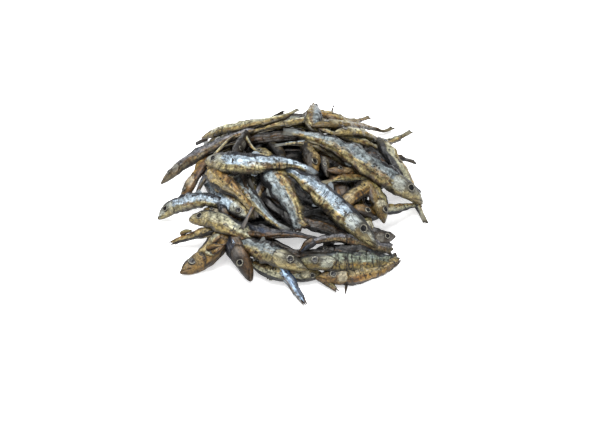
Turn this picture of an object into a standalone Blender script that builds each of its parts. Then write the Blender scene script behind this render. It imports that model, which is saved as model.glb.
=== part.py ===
"""A heap of small dried Baltic sprats as it lies on a flat surface, fused into one solid.

Lengths in the tables are millimetres. +Z is up, +X is to the right and +Y goes away from the viewer.
The origin is the middle of the heap's footprint, on the surface that it lies on.
"""

import math
import random
from collections import namedtuple

import bmesh
import bpy
import numpy as np

MM = 0.001

# The heap as a smooth round mound, over which the top fish lie
MOUND_HEIGHT = 46.0
MOUND_RADIUS = 104.0
MOUND_MIDDLE = (0.78, 10.31)
LOWEST_CENTRE = 3.4
FLOOR_GAP = 0.4

# The viewpoint from which the fish are placed: its height angle, its distance and the size of one pixel there
VIEW_ELEVATION = math.radians(42.0)
VIEW_DISTANCE = 900.0
PIXEL = 0.75
FRAME_MIDDLE = (299.5, 214.0)
AIM = np.array((5.28, -12.29, 0.0))

# The core, a plain low mound well inside the fish
CORE_HALF_WIDTH = 62.0
CORE_HALF_DEPTH = 56.0
CORE_HEIGHT = 36.0
CORE_MIDDLE = (2.78, 21.3)
CORE_SIDES = 20
CORE_TIERS = 4

# Along a fish, from the snout at 0 to the tip of the tail at 1:
# half its height and half its thickness there, as shares of half its greatest height
Station = namedtuple("Station", "along height thickness")
BODY = (
    Station(0.00, 0.24, 0.16),
    Station(0.05, 0.60, 0.40),
    Station(0.17, 0.91, 0.56),
    Station(0.36, 1.00, 0.57),
    Station(0.58, 0.80, 0.46),
    Station(0.76, 0.50, 0.30),
    Station(0.88, 0.34, 0.18),
    Station(1.00, 0.40, 0.12),
)
TORN_HEAD = 0.20
TORN_TAIL = 0.80
HEAD_UNIT = 0.22
BODY_HALF = 0.60
NECK_SHARE = 0.07
LONGEST = 126.0
SLENDERNESS = 6.4
BURIED = -6.5

# How finely things are worked out: rings along a fish, steps between two given points of a path and rounds of
# smoothing it, steps down a sight line from above the mound, and the triangles of the finished solid
RINGS = 10
PATH_STEPS = 16
SMOOTHING_ROUNDS = 30
SIGHT_STEPS = 285
SIGHT_START = MOUND_HEIGHT + 25.0
TRIANGLES_WANTED = 10500

# Round a fish: back ridge, two points on one flank, belly keel, two points on the other flank,
# each as a share of half the height and half the thickness
GIRTH = ((1.0, 0.0), (0.42, 1.0), (-0.45, 0.9), (-1.0, 0.0), (-0.45, -0.9), (0.42, -1.0))

# The skin, one even brown-grey
SKIN_COLOUR = (0.20, 0.17, 0.12, 1.0)
SKIN_ROUGHNESS = 0.42
SKIN_METALLIC = 0.15

# Each fish that is seen: its greatest height, which side its back is on for someone who looks from above
# along it toward the tail, how far the back is rolled up toward the sky, and its path from the snout to
# the tail as (pixels across, pixels down, lift over the mound's skin). A negative lift is inside the heap.
# Then, where it matters, which end is torn off and the head's length as a multiple of the usual.
Sprat = namedtuple("Sprat", "name height back roll path torn head")
Sprat.__new__.__defaults__ = (None, 1.0)
LEFT = 1
RIGHT = -1

SPRATS = (
    # The fish on top
    Sprat("ridge_right", 18, RIGHT, 34,
          ((421, 201, 3), (409, 191, 6), (396, 183, 7), (379, 172.5, 8), (363, 162, 8), (347, 152, 8),
           (328, 142.5, 8), (300, 134, 5), (276, 131, 2)), None, 1.22),
    Sprat("centre_right", 17.5, RIGHT, 22,
          ((375.5, 244.5, 4), (359, 227.5, 7), (335, 206, 9), (313, 187, 8), (296, 175, 5),
           (281, 168, 1)), None, 1.5),
    Sprat("centre_left", 16, LEFT, 22,
          ((207, 160, 6), (228, 163, 9), (255, 164.5, 10), (285, 163, 9), (303, 167, 7),
           (317, 176, 3)), None, 1.1),
    Sprat("broad_gold", 19, RIGHT, 0,
          ((258, 150, -8), (267, 166, 0), (281, 187, 5), (292, 206, 6), (302, 229, 4)), "tail"),
    Sprat("left_long", 10.5, LEFT, 25,
          ((162, 182, 2), (182, 165.5, 4), (210, 148, 5), (240, 134, 4), (270, 126, 0))),
    Sprat("top_left", 11, LEFT, 10,
          ((203, 137, 3), (225, 130, 4), (250, 125, 5), (277, 119, 6), (299, 109, 9))),
    Sprat("right_edge", 14, RIGHT, 0,
          ((379, 138, 4), (390.5, 154.5, 5), (401, 171, 4), (410.5, 188, 1), (417, 205, -1),
           (426, 223, -1))),
    Sprat("left_mid", 14.5, RIGHT, 0,
          ((211, 172, 2), (221, 181, 5), (233, 190, 6), (245, 201, 5), (257, 218, -1)), "head"),
    Sprat("left_pale", 14.5, LEFT, 0,
          ((191, 218.5, 3), (208, 218.5, 5), (224, 223.5, 6), (238, 231, 3), (256, 241, -5),
           (275, 250, -10))),
    Sprat("left_blue", 12.5, LEFT, 26,
          ((159, 217.5, 2), (172, 207, 3), (187, 202.5, 4), (207, 199.5, 4), (224, 205, -2),
           (243, 216, -9)), None, 1.05),
    Sprat("front_left", 16, RIGHT, 0,
          ((305, 268.5, 6), (290, 261.5, 7), (273, 254.5, 7), (257, 248.5, 5),
           (241, 243, 1)), "tail", 1.75),
    Sprat("banded", 14.5, LEFT, 0,
          ((296, 263, 0), (316, 262, 5), (340, 262, 6), (366, 261.5, 6), (396, 261, 3)), "tail", 1.35),
    Sprat("open_belly", 17.5, LEFT, 0,
          ((182, 271.5, 2), (196, 264, 4), (211, 252.5, 4), (221, 237, 0), (229, 217, -7),
           (236, 198, -12)), None, 0.84),
    Sprat("dark_head", 15.5, LEFT, 0,
          ((249.5, 279, 2), (244.5, 266, 4), (237.5, 251, 3), (231, 238, 0), (226, 222, -7),
           (222, 205, -12)), None, 1.15),
    Sprat("front_right", 14.5, LEFT, 0,
          ((318, 277.5, 1), (333, 276, 3), (352, 275, 4), (374, 271, 3), (387, 265.5, 1),
           (396, 259, -1)), "tail", 1.25),
    Sprat("centre_low", 10.5, LEFT, 0,
          ((218, 221, -8), (236, 227, -3), (262, 233, 2), (285, 234, 4), (300, 235, 4), (317, 240, 2))),
    Sprat("silver_small", 12, LEFT, 0,
          ((232, 172, -12), (246, 192, -3), (260, 209, 2), (269, 218, 4), (278, 225, 4), (290, 232, 3))),
    Sprat("pale_tail", 9, RIGHT, 0,
          ((283, 150, -16), (268, 175, -9), (257, 198, -1), (250, 213, 6), (241, 230, 7))),
    Sprat("front_tail", 10.5, LEFT, 35,
          ((238, 215, -14), (257, 240, -8), (276, 262, 2), (290, 281, 4), (304.5, 303, 0)), "tail"),
    Sprat("umber_low", 10, LEFT, 20,
          ((338, 233, -2), (322, 227, -1), (306, 223, -1), (290, 216, -6), (276, 208, -12)), "head"),
    # The right side
    Sprat("right_small", 14, RIGHT, 0,
          ((384, 221, 3), (381, 208, 5), (375, 193, 2), (367, 180, -4), (354, 165, -10),
           (338, 152, -14)), None, 0.75),
    Sprat("right_tail", 12, RIGHT, 0,
          ((318, 229, -13), (340, 221, -11), (362, 214, -7), (388, 209.5, -2), (421, 204, 0))),
    Sprat("arched", 11.5, LEFT, 0,
          ((331, 217, -6), (344, 204, 0), (355, 194, 2), (368, 187, 1), (385, 181, -7), (402, 172, -13))),
    Sprat("mid_right", 12, LEFT, 0,
          ((402, 183, -8), (379, 178, -2), (356, 178, 2), (335, 180, 2), (318, 185, 0))),
    Sprat("rust_right", 9, LEFT, 0,
          ((328, 170, -2), (341, 171, -1), (360, 174, -4), (382, 180, -10), (404, 183, -14))),
    Sprat("olive_mid", 14, LEFT, 0,
          ((333, 170, -10), (338, 185, -5), (342, 200, -5), (338, 217, -9), (330, 235, -13))),
    Sprat("lilac_low", 10.5, RIGHT, 0,
          ((390, 249, -2), (372, 244.5, 0), (348, 238, 2), (325, 238.5, 3), (311, 243, 3),
           (299, 253, 3)), "head"),
    Sprat("dark_right", 12, RIGHT, 20,
          ((394, 236, 1), (380, 237, 2), (360, 231, -3), (336, 226, -9), (310, 224, -13))),
    Sprat("umber_right", 11, LEFT, 0,
          ((369, 243, -3), (368, 228, 0), (363, 212, -5), (357, 197, -10), (350, 182, -15))),
    Sprat("brown_scrap", 13, LEFT, 20,
          ((377, 215, 0), (364, 211, 1), (350, 208, -3), (332, 205, -10))),
    Sprat("under_ridge", 12, RIGHT, 0,
          ((380, 178, -6), (350, 162, -2), (325, 148, 2), (300, 143, 2), (273, 146, 0))),
    Sprat("under_ridge_2", 9, RIGHT, 0,
          ((374, 187, -11), (350, 170, -6), (331, 158, -3), (306, 151, -6), (284, 150, -9))),
    Sprat("golden_head", 16, LEFT, 40,
          ((313, 174, 0), (312, 161, 1), (309, 149, -3), (303, 134, -10), (296, 118, -15)), None, 0.62),
    Sprat("grey_upright", 8.5, LEFT, 0,
          ((327, 176, -6), (324, 161, -4), (321, 149, -9), (316, 133, -14))),
    Sprat("navy_gap", 12, LEFT, 20,
          ((350, 140, -12), (370, 153, -3), (386, 164, -1), (400, 178, -3), (411, 192, -6))),
    Sprat("stick_high", 11, LEFT, 0,
          ((318, 144, -15), (345, 145, -11), (370, 144.5, -6), (391, 141.5, 0), (411.5, 131, 6))),
    Sprat("stick_dark", 14, RIGHT, 0,
          ((335, 166, -15), (360, 161, -11), (385, 156.5, -5), (402, 158.5, -2), (415, 162, -1))),
    # The far edge
    Sprat("top_streak", 10, RIGHT, 0,
          ((335, 124, -3), (310, 121, 0), (285, 124, 2), (258, 130, 1), (227, 140, -2))),
    Sprat("top_dark", 11, RIGHT, 20,
          ((312, 136, -7), (282, 136, -4), (252, 140, -4), (222, 146, -6))),
    Sprat("umber_top", 10, LEFT, 10,
          ((330, 130, -8), (305, 129.5, -5), (280, 129, -4), (254, 135, -6))),
    Sprat("left_strand", 8, LEFT, -10,
          ((177, 169, -1), (200, 157, 0), (222, 149, -2), (246, 140, -5))),
    Sprat("brown_head", 11, LEFT, 90,
          ((233, 161, 12), (238, 149, 9), (246, 138, 2), (262, 124, -9), (285, 112, -14))),
    Sprat("hook", 12.5, RIGHT, 0,
          ((336, 148, -14), (322, 139, -9), (314, 127, 1), (313.5, 114, 7), (315, 104, 9)), "tail"),
    Sprat("gold_back", 9.5, LEFT, 30,
          ((296, 124, -8), (312, 113.5, 0), (326, 114.5, 3), (340, 119.5, 2), (354, 121.5, 1),
           (370, 117, 4))),
    Sprat("eye_top", 13, LEFT, 0,
          ((313, 126, 3), (328, 124, 5), (348, 126, 2), (370, 127, 1), (383, 131.5, 0), (393.5, 127, 4))),
    Sprat("tan_edge", 9, RIGHT, 0,
          ((392, 160, -9), (372, 146, -3), (350, 139, 1), (325, 131, 2), (303, 121, 3))),
    Sprat("tan_head", 11, LEFT, 0,
          ((334, 134, 5), (345, 132, 6), (360, 133, 4), (378, 141, -2), (392, 153, -9), (402, 168, -15))),
    # The left side
    Sprat("left_gold", 11, LEFT, 10,
          ((178, 206, -5), (186, 193, -2), (192, 182, -1), (199, 170, -1), (209, 158, -3), (224, 144, -8),
           (242, 127, -14))),
    Sprat("left_grey", 11, RIGHT, 0,
          ((238, 141, -15), (222, 157, -9), (209, 172, -5), (199, 189, -6), (192, 206, -8))),
    Sprat("left_stick", 9.5, LEFT, 20,
          ((264, 212, -11), (237, 221, -6), (212, 230, 0), (190, 236.5, 1), (171.5, 243, 0)), "tail"),
    Sprat("gill_piece", 14.5, LEFT, 0,
          ((249, 217, 0), (238, 209, 1), (226, 199, -1), (214, 187, -8), (203, 170, -14)), None, 0.8),
    Sprat("navy_column", 9.5, LEFT, 20,
          ((226.5, 227, -5), (224.5, 210, 0), (221, 196, -3), (215, 179, -12))),
    Sprat("dark_middle", 11, LEFT, 20,
          ((299, 227, 1), (290, 217, 2), (275, 205, -1), (262, 191, -6), (250, 176, -12))),
    Sprat("umber_tail", 8, LEFT, 0,
          ((242, 150, -14), (244, 172, -7), (249, 193, 0), (257, 219, 3))),
    Sprat("umber_head", 10, LEFT, 70,
          ((255, 194, -3), (252, 182, -1), (248, 168, -6), (244, 151, -14))),
    Sprat("tan_notch", 9, LEFT, 0,
          ((205, 209, -2), (214, 211, -3), (228, 216, -8), (246, 224, -13))),
    # The near edge
    Sprat("dark_low", 7.5, LEFT, 10,
          ((250, 234, -9), (266, 241, -3), (282, 249.5, -1), (300, 254.5, 0), (335, 253, -2),
           (368, 251, -4))),
    Sprat("right_strip", 9.5, LEFT, 0,
          ((316, 250, -7), (345, 250, -1), (370, 253, 3), (387, 258, 3), (398, 263, 1))),
    Sprat("front_under", 11.5, LEFT, 0,
          ((322, 275, -4), (305, 274.5, -1), (287, 274, 0), (268, 270.5, 0), (252, 263, -4),
           (236, 252, -9))),
)

# The fish that lie round the far side, out of sight: how many, the arc they lie on and how they vary
FAR_COUNT = 15
FAR_SEED = 7
FAR_ARC = (math.radians(20.0), math.radians(160.0))
FAR_RADIUS = (62.0, 88.0)
FAR_LENGTH = (78.0, 104.0)
FAR_HEIGHT = (10.0, 14.0)
FAR_SPREAD = 0.9
FAR_ROLL = (0.0, 40.0)
FAR_LIFT = -7.5
FAR_LIMIT = 97.0
FAR_STEPS = 6
FAR_TRIES = 24

# The fish that are seen hide what lies inside an oval of the frame: its middle and half sizes in pixels
VIEW_OVAL_MIDDLE = (296.0, 206.0)
FAR_VIEW_HALF = (103.0, 75.0)
HIDDEN_ENOUGH = 0.8
HIDING_STEPS = 160

# The gaps through which the bare floor shows, as pixels across and down and a radius in pixels
GAPS = (
    (293.0, 245.0, 17.0), (306.0, 243.0, 16.0), (206.0, 187.0, 14.0), (392.0, 196.0, 14.0),
    (405.0, 197.0, 14.0), (388.0, 224.0, 13.0), (230.0, 258.0, 12.0), (186.0, 228.0, 12.0),
    (186.0, 172.0, 12.0), (300.0, 112.0, 13.0),
)


def remove_scene_objects():
    for item in list(bpy.data.objects):
        bpy.data.objects.remove(item, do_unlink=True)


def mound_skin(x, y):
    """Height of the mound's smooth skin, below the floor outside its edge."""
    distance_squared = (x - MOUND_MIDDLE[0]) ** 2 + (y - MOUND_MIDDLE[1]) ** 2
    return MOUND_HEIGHT * (1.0 - distance_squared / MOUND_RADIUS**2)


def mound_up(x, y):
    """Unit vector straight out of the mound's skin."""
    steep = 2.0 * MOUND_HEIGHT / MOUND_RADIUS**2
    up = np.array((steep * (x - MOUND_MIDDLE[0]), steep * (y - MOUND_MIDDLE[1]), 1.0))
    return up / np.linalg.norm(up)


VIEW_RIGHT = np.array((1.0, 0.0, 0.0))
VIEW_AHEAD = np.array((0.0, math.cos(VIEW_ELEVATION), -math.sin(VIEW_ELEVATION)))
VIEW_UP = np.array((0.0, math.sin(VIEW_ELEVATION), math.cos(VIEW_ELEVATION)))
EYE_POINT = AIM - VIEW_DISTANCE * VIEW_AHEAD
PIXEL_TANGENT = PIXEL / VIEW_DISTANCE


def on_mound(across, down, lift):
    """Where the sight line through a pixel first comes down to the skin raised by lift, or passes nearest."""
    line = VIEW_AHEAD + VIEW_RIGHT * (across - FRAME_MIDDLE[0]) * PIXEL_TANGENT
    line = line + VIEW_UP * (FRAME_MIDDLE[1] - down) * PIXEL_TANGENT
    heights = np.linspace(SIGHT_START, 0.0, SIGHT_STEPS)
    points = EYE_POINT + line * ((heights - EYE_POINT[2]) / line[2])[:, None]
    gaps = heights - mound_skin(points[:, 0], points[:, 1]) - lift
    below = np.nonzero(gaps <= 0.0)[0]
    first = below[0] if len(below) else int(np.argmin(gaps))
    height = max(heights[first], LOWEST_CENTRE)
    return EYE_POINT + line * (height - EYE_POINT[2]) / line[2]


def pixel_of(points):
    """The pixels at which points are seen."""
    offset = np.asarray(points) - EYE_POINT
    depth = offset @ VIEW_AHEAD * PIXEL_TANGENT
    across = FRAME_MIDDLE[0] + offset @ VIEW_RIGHT / depth
    return np.stack([across, FRAME_MIDDLE[1] - offset @ VIEW_UP / depth], 1)


def smooth_path(points, count):
    """Points at even steps along a smooth curve through the given ones, and the curve's length."""
    points = np.array(points, dtype=float)
    padded = np.vstack([2 * points[0] - points[1], points, 2 * points[-1] - points[-2]])
    steps = np.linspace(0.0, 1.0, PATH_STEPS, endpoint=False)[:, None]
    curve = []
    for before, start, end, after in zip(padded, padded[1:], padded[2:], padded[3:]):
        bend = 2 * before - 5 * start + 4 * end - after
        twist = 3 * start - before - 3 * end + after
        curve.append(0.5 * (2 * start + (end - before) * steps + bend * steps**2 + twist * steps**3))
    curve = np.vstack(curve + [points[-1:]])
    for _ in range(SMOOTHING_ROUNDS):
        curve[1:-1] += 0.25 * (curve[:-2] - 2 * curve[1:-1] + curve[2:])
    travelled = np.concatenate([[0.0], np.cumsum(np.linalg.norm(np.diff(curve, axis=0), axis=1))])
    length = min(travelled[-1], LONGEST)
    wanted = np.linspace(0.0, length, count)
    return np.stack([np.interp(wanted, travelled, curve[:, axis]) for axis in range(3)], axis=1), length


def body_reach(length, height, torn, buried):
    """The part of the fish, snout 0 to tail 1, that its path carries."""
    start = TORN_HEAD if torn == "head" else 0.0
    end = TORN_TAIL if torn == "tail" else 1.0
    if buried:
        end = min(end, length / (SLENDERNESS * height))
    return start, end


def profile_places(start, end, head):
    """The places on the profile at even steps along the path, of which a long head takes up more."""
    places = (0.0, HEAD_UNIT, BODY_HALF, 1.0)
    shares = (0.0, HEAD_UNIT * head, BODY_HALF + NECK_SHARE * (head - 1.0), 1.0)
    first, last = np.interp((start, end), places, shares)
    return np.interp(np.linspace(first, last, RINGS), shares, places)


def add_fish(bm, points, height, back, roll, torn=None, buried=False, head=1.0):
    """One closed fish along the points: rings across its path, capped at the snout and the tail."""
    path, length = smooth_path(points, RINGS)
    tangents = np.gradient(path, axis=0)
    tangents /= np.linalg.norm(tangents, axis=1)[:, None]
    middle = path[RINGS // 2]
    up = mound_up(middle[0], middle[1])
    out = up - (tangents @ up)[:, None] * tangents
    out /= np.linalg.norm(out, axis=1)[:, None]
    dorsal = np.cross(out, tangents) * back
    turn = math.radians(roll)
    crest = dorsal * math.cos(turn) + out * math.sin(turn)
    flank = out * math.cos(turn) - dorsal * math.sin(turn)
    along = profile_places(*body_reach(length, height, torn, buried), head)
    body = np.array(BODY)
    tall = np.interp(along, body[:, 0], body[:, 1]) * height / 2
    thick = np.interp(along, body[:, 0], body[:, 2]) * height / 2
    rings = []
    for index in range(RINGS):
        ring = []
        for rise, side in GIRTH:
            place = path[index] + crest[index] * rise * tall[index] + flank[index] * side * thick[index]
            place[2] = max(place[2], FLOOR_GAP)
            ring.append(bm.verts.new(place * MM))
        rings.append(ring)
    for ring, following in zip(rings, rings[1:]):
        for index in range(len(GIRTH)):
            after = (index + 1) % len(GIRTH)
            bm.faces.new((ring[index], ring[after], following[after], following[index]))
    bm.faces.new(reversed(rings[0]))
    bm.faces.new(rings[-1])


def mesh_object(name, bm, collection):
    bmesh.ops.recalc_face_normals(bm, faces=bm.faces)
    bmesh.ops.triangulate(bm, faces=bm.faces)
    mesh = bpy.data.meshes.new(name)
    bm.to_mesh(mesh)
    bm.free()
    item = bpy.data.objects.new(name, mesh)
    collection.objects.link(item)
    return item


def seen_fish(collection):
    for sprat in SPRATS:
        bm = bmesh.new()
        points = [on_mound(*place) for place in sprat.path]
        buried = sprat.path[-1][2] < BURIED
        add_fish(bm, points, sprat.height, sprat.back, sprat.roll, sprat.torn, buried, sprat.head)
        mesh_object(sprat.name, bm, collection)


def slope_points(radius, angle, length, slant):
    """A straight path laid on the far slope, drawn in where it would pass the limit."""
    points = []
    for share in np.linspace(-0.5, 0.5, FAR_STEPS):
        across = radius * math.cos(angle) + share * length * math.cos(slant)
        away = radius * math.sin(angle) + share * length * math.sin(slant)
        inward = min(1.0, FAR_LIMIT / math.hypot(across, away))
        x = MOUND_MIDDLE[0] + across * inward
        y = MOUND_MIDDLE[1] + away * inward
        points.append((x, y, max(mound_skin(x, y) + FAR_LIFT, LOWEST_CENTRE)))
    return points


def seen_outside(points):
    """How far a path reaches toward the edge of the view's oval, from 0 to 1, and more than 1 in a gap."""
    pixels = pixel_of(smooth_path(points, HIDING_STEPS)[0])
    offset = (pixels - VIEW_OVAL_MIDDLE) / FAR_VIEW_HALF
    reach = np.hypot(offset[:, 0], offset[:, 1]).max()
    for across, down, radius in GAPS:
        if np.hypot(pixels[:, 0] - across, pixels[:, 1] - down).min() < radius:
            reach += 1.0
    return reach


def far_path(chance, angle):
    """Of several paths across the far slope, the one that the nearer fish hide best from the viewpoint."""
    found = []
    for _ in range(FAR_TRIES):
        radius = chance.uniform(*FAR_RADIUS)
        length = chance.uniform(*FAR_LENGTH)
        slant = angle + math.pi / 2 + chance.choice((0.0, math.pi)) + chance.uniform(-FAR_SPREAD, FAR_SPREAD)
        points = slope_points(radius, angle, length, slant)
        found.append((seen_outside(points), points))
    return min(found, key=lambda path: max(path[0], HIDDEN_ENOUGH))[1]


def far_fish(collection):
    """Fish round the far side, each laid across the slope at its own slant."""
    chance = random.Random(FAR_SEED)
    for index in range(FAR_COUNT):
        points = far_path(chance, FAR_ARC[0] + (FAR_ARC[1] - FAR_ARC[0]) * (index + 0.5) / FAR_COUNT)
        height, back = chance.uniform(*FAR_HEIGHT), chance.choice((LEFT, RIGHT))
        roll = chance.uniform(*FAR_ROLL)
        bm = bmesh.new()
        add_fish(bm, points, height, back, roll)
        mesh_object(f"far_{index:02d}", bm, collection)


def core():
    """The plain mound inside, flat underneath."""
    bm = bmesh.new()
    rings = []
    for tier in range(CORE_TIERS):
        rise = math.sin(math.pi / 2 * tier / CORE_TIERS)
        spread = math.cos(math.pi / 2 * tier / CORE_TIERS)
        ring = []
        for side in range(CORE_SIDES):
            turn = 2 * math.pi * side / CORE_SIDES
            x = CORE_MIDDLE[0] + CORE_HALF_WIDTH * spread * math.cos(turn)
            y = CORE_MIDDLE[1] + CORE_HALF_DEPTH * spread * math.sin(turn)
            ring.append(bm.verts.new((x * MM, y * MM, CORE_HEIGHT * rise * MM)))
        rings.append(ring)
    for ring, following in zip(rings, rings[1:]):
        for index in range(CORE_SIDES):
            after = (index + 1) % CORE_SIDES
            bm.faces.new((ring[index], ring[after], following[after], following[index]))
    bm.faces.new(reversed(rings[0]))
    bm.faces.new(rings[-1])
    return mesh_object("sprat_heap", bm, bpy.context.scene.collection)


def fuse(item, collection):
    """Joins the fish of the collection to the item, then removes them."""
    union = item.modifiers.new("union", "BOOLEAN")
    union.operation = "UNION"
    union.operand_type = "COLLECTION"
    union.collection = collection
    union.solver = "MANIFOLD"
    evaluated = item.evaluated_get(bpy.context.evaluated_depsgraph_get())
    fused = bpy.data.meshes.new_from_object(evaluated)
    item.modifiers.clear()
    item.data = fused
    for fish in list(collection.objects):
        bpy.data.objects.remove(fish, do_unlink=True)


def keep_largest(item):
    """Leaves only the biggest connected shell, which fills sealed hollows and drops loose scraps."""
    bm = bmesh.new()
    bm.from_mesh(item.data)
    bm.verts.ensure_lookup_table()
    shell_of = {}
    shells = []
    for start in bm.verts:
        if start in shell_of:
            continue
        shell = [start]
        shell_of[start] = len(shells)
        for vert in shell:
            for edge in vert.link_edges:
                other = edge.other_vert(vert)
                if other not in shell_of:
                    shell_of[other] = len(shells)
                    shell.append(other)
        shells.append(shell)
    largest = max(shells, key=len)
    doomed = [vert for shell in shells if shell is not largest for vert in shell]
    bmesh.ops.delete(bm, geom=doomed, context="VERTS")
    bm.to_mesh(item.data)
    bm.free()


def simplify(item):
    """Collapses the slivers that the union leaves where fish cross."""
    item.data.calc_loop_triangles()
    collapse = item.modifiers.new("collapse", "DECIMATE")
    collapse.ratio = min(1.0, TRIANGLES_WANTED / len(item.data.loop_triangles))


def dried_fish_material():
    material = bpy.data.materials.new("dried_sprat")
    material.use_nodes = True
    shader = material.node_tree.nodes["Principled BSDF"]
    shader.inputs["Base Color"].default_value = SKIN_COLOUR
    shader.inputs["Roughness"].default_value = SKIN_ROUGHNESS
    shader.inputs["Metallic"].default_value = SKIN_METALLIC
    return material


def build():
    remove_scene_objects()
    fish = bpy.data.collections.new("fish")
    bpy.context.scene.collection.children.link(fish)
    heap = core()
    seen_fish(fish)
    far_fish(fish)
    fuse(heap, fish)
    bpy.data.collections.remove(fish)
    keep_largest(heap)
    simplify(heap)
    heap.data.materials.append(dried_fish_material())


build()
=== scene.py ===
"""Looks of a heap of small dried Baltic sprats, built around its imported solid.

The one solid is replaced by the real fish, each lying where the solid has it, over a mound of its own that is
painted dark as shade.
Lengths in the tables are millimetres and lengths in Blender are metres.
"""

import math
import random
from collections import namedtuple

import bpy
import numpy as np
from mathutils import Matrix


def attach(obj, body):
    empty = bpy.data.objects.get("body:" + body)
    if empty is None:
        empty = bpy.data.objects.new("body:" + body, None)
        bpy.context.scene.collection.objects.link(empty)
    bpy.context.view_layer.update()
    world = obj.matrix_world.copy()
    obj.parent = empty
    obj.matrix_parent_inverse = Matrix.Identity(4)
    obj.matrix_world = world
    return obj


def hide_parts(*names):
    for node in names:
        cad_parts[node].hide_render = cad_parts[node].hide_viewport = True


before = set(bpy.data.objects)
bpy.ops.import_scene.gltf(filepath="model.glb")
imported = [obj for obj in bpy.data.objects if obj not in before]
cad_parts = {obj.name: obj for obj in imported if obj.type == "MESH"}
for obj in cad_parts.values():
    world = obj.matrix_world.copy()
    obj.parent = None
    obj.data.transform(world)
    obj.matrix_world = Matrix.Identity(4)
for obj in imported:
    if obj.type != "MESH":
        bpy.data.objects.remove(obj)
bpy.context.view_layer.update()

MM = 0.001
NODE = "sprat_heap"
BODY = "root"

# The heap as a smooth round mound, over which the top fish lie
MOUND_HEIGHT = 46.0
MOUND_RADIUS = 104.0
MOUND_MIDDLE = (0.78, 10.31)
LOWEST_CENTRE = 3.4
FLOOR_GAP = 0.4

# The viewpoint: its height angle, its distance and the size of one pixel there
VIEW_ELEVATION = math.radians(42.0)
VIEW_DISTANCE = 900.0
PIXEL = 0.75
FRAME_MIDDLE = (299.5, 214.0)
FRAME_WIDTH = 599.0
AIM = np.array((5.28, -12.29, 0.0))
SENSOR = 36.0

# Along a fish, from the snout at 0 to the tip of the tail at 1: its back, its belly and its flanks,
# as shares of half its greatest height
BACK_LINE = (
    (0.00, 0.20), (0.02, 0.40), (0.05, 0.58), (0.10, 0.76), (0.16, 0.89), (0.24, 0.97), (0.36, 1.00),
    (0.50, 0.92), (0.64, 0.71), (0.76, 0.51), (0.85, 0.38), (0.90, 0.34), (0.95, 0.38), (1.00, 0.42),
)
BELLY_LINE = (
    (0.00, 0.24), (0.02, 0.46), (0.05, 0.64), (0.10, 0.80), (0.16, 0.91), (0.24, 0.98), (0.36, 1.00),
    (0.50, 0.90), (0.64, 0.69), (0.76, 0.49), (0.85, 0.36), (0.90, 0.32), (0.95, 0.38), (1.00, 0.42),
)
FLANK_LINE = (
    (0.00, 0.14), (0.03, 0.33), (0.08, 0.47), (0.15, 0.56), (0.22, 0.54), (0.36, 0.56), (0.58, 0.46),
    (0.76, 0.31), (0.85, 0.22), (0.90, 0.16), (0.95, 0.11), (1.00, 0.07),
)
TORN_HEAD = 0.20
TORN_TAIL = 0.80
LONGEST = 126.0
SLENDERNESS = 6.4
BURIED = -6.5
PATH_STEPS = 160

# The head: where the gill cover ends on the flank, how far that edge curves, and the eye
GILL_EDGE = 0.215
GILL_CURVE = 0.055
GILL_MIDDLE = -0.05
CHEEK_EDGE = 0.150
EYE_ALONG = 0.110
EYE_RISE = 0.24
EYE_SHARE = 0.205
MOUTH_END = 0.060
HEAD_UNIT = 0.22
BODY_HALF = 0.60
NECK_SHARE = 0.07

# How finely the fish are made: steps along the head and the body as shares of the length, and points round it
Fineness = namedtuple("Fineness", "head body round")
FINE = Fineness(0.0075, 0.0130, 40)
PLAIN = Fineness(0.0160, 0.0260, 20)

# A look: the colours of the back, the flank and the belly as seen in even light, with painted shade in the
# darkest look; how metallic and how rough the skin is, and how strongly cracks cross it
Look = namedtuple("Look", "back flank belly metallic roughness cracked")
Look.__new__.__defaults__ = (0.0,)
LOOKS = {
    "silver": Look((0.065, 0.09, 0.14), (0.54, 0.58, 0.61), (0.56, 0.53, 0.41), 0.18, 0.42),
    "steel": Look((0.20, 0.25, 0.31), (0.53, 0.59, 0.65), (0.50, 0.53, 0.55), 0.18, 0.38),
    "blue": Look((0.05, 0.062, 0.09), (0.43, 0.455, 0.46), (0.54, 0.505, 0.38), 0.18, 0.42),
    "cream": Look((0.15, 0.16, 0.17), (0.53, 0.525, 0.46), (0.52, 0.475, 0.335), 0.14, 0.42),
    "banded": Look((0.15, 0.18, 0.19), (0.41, 0.43, 0.39), (0.44, 0.40, 0.26), 0.14, 0.42, 1.0),
    "golden": Look((0.14, 0.115, 0.07), (0.48, 0.44, 0.33), (0.48, 0.40, 0.24), 0.12, 0.42),
    "rusty": Look((0.12, 0.09, 0.05), (0.43, 0.365, 0.225), (0.40, 0.31, 0.16), 0.10, 0.40),
    "olive": Look((0.10, 0.10, 0.065), (0.41, 0.39, 0.28), (0.43, 0.375, 0.23), 0.10, 0.42),
    "umber": Look((0.06, 0.05, 0.035), (0.20, 0.165, 0.11), (0.26, 0.21, 0.12), 0.06, 0.44),
    "navy": Look((0.014, 0.021, 0.038), (0.11, 0.135, 0.185), (0.33, 0.26, 0.145), 0.14, 0.34),
    # A look painted near-black: the shade on fish that lie deep between others
    "shaded_black": Look((0.006, 0.009, 0.014), (0.03, 0.034, 0.042), (0.075, 0.06, 0.04), 0.10, 0.38),
    "lilac": Look((0.10, 0.11, 0.125), (0.385, 0.385, 0.395), (0.43, 0.395, 0.31), 0.18, 0.40),
}

# Each fish that is seen: its look, its greatest height, which side its back is on for someone who looks from
# above along it toward the tail, how far the back is rolled up toward the sky, and its path from the snout to
# the tail as (pixels across, pixels down, lift over the mound's skin). A negative lift is inside the heap.
# Then, where it matters, which end is torn off and the head's length as a multiple of the usual.
Sprat = namedtuple("Sprat", "name look height back roll path torn head")
Sprat.__new__.__defaults__ = (None, 1.0)
LEFT = 1
RIGHT = -1

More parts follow.
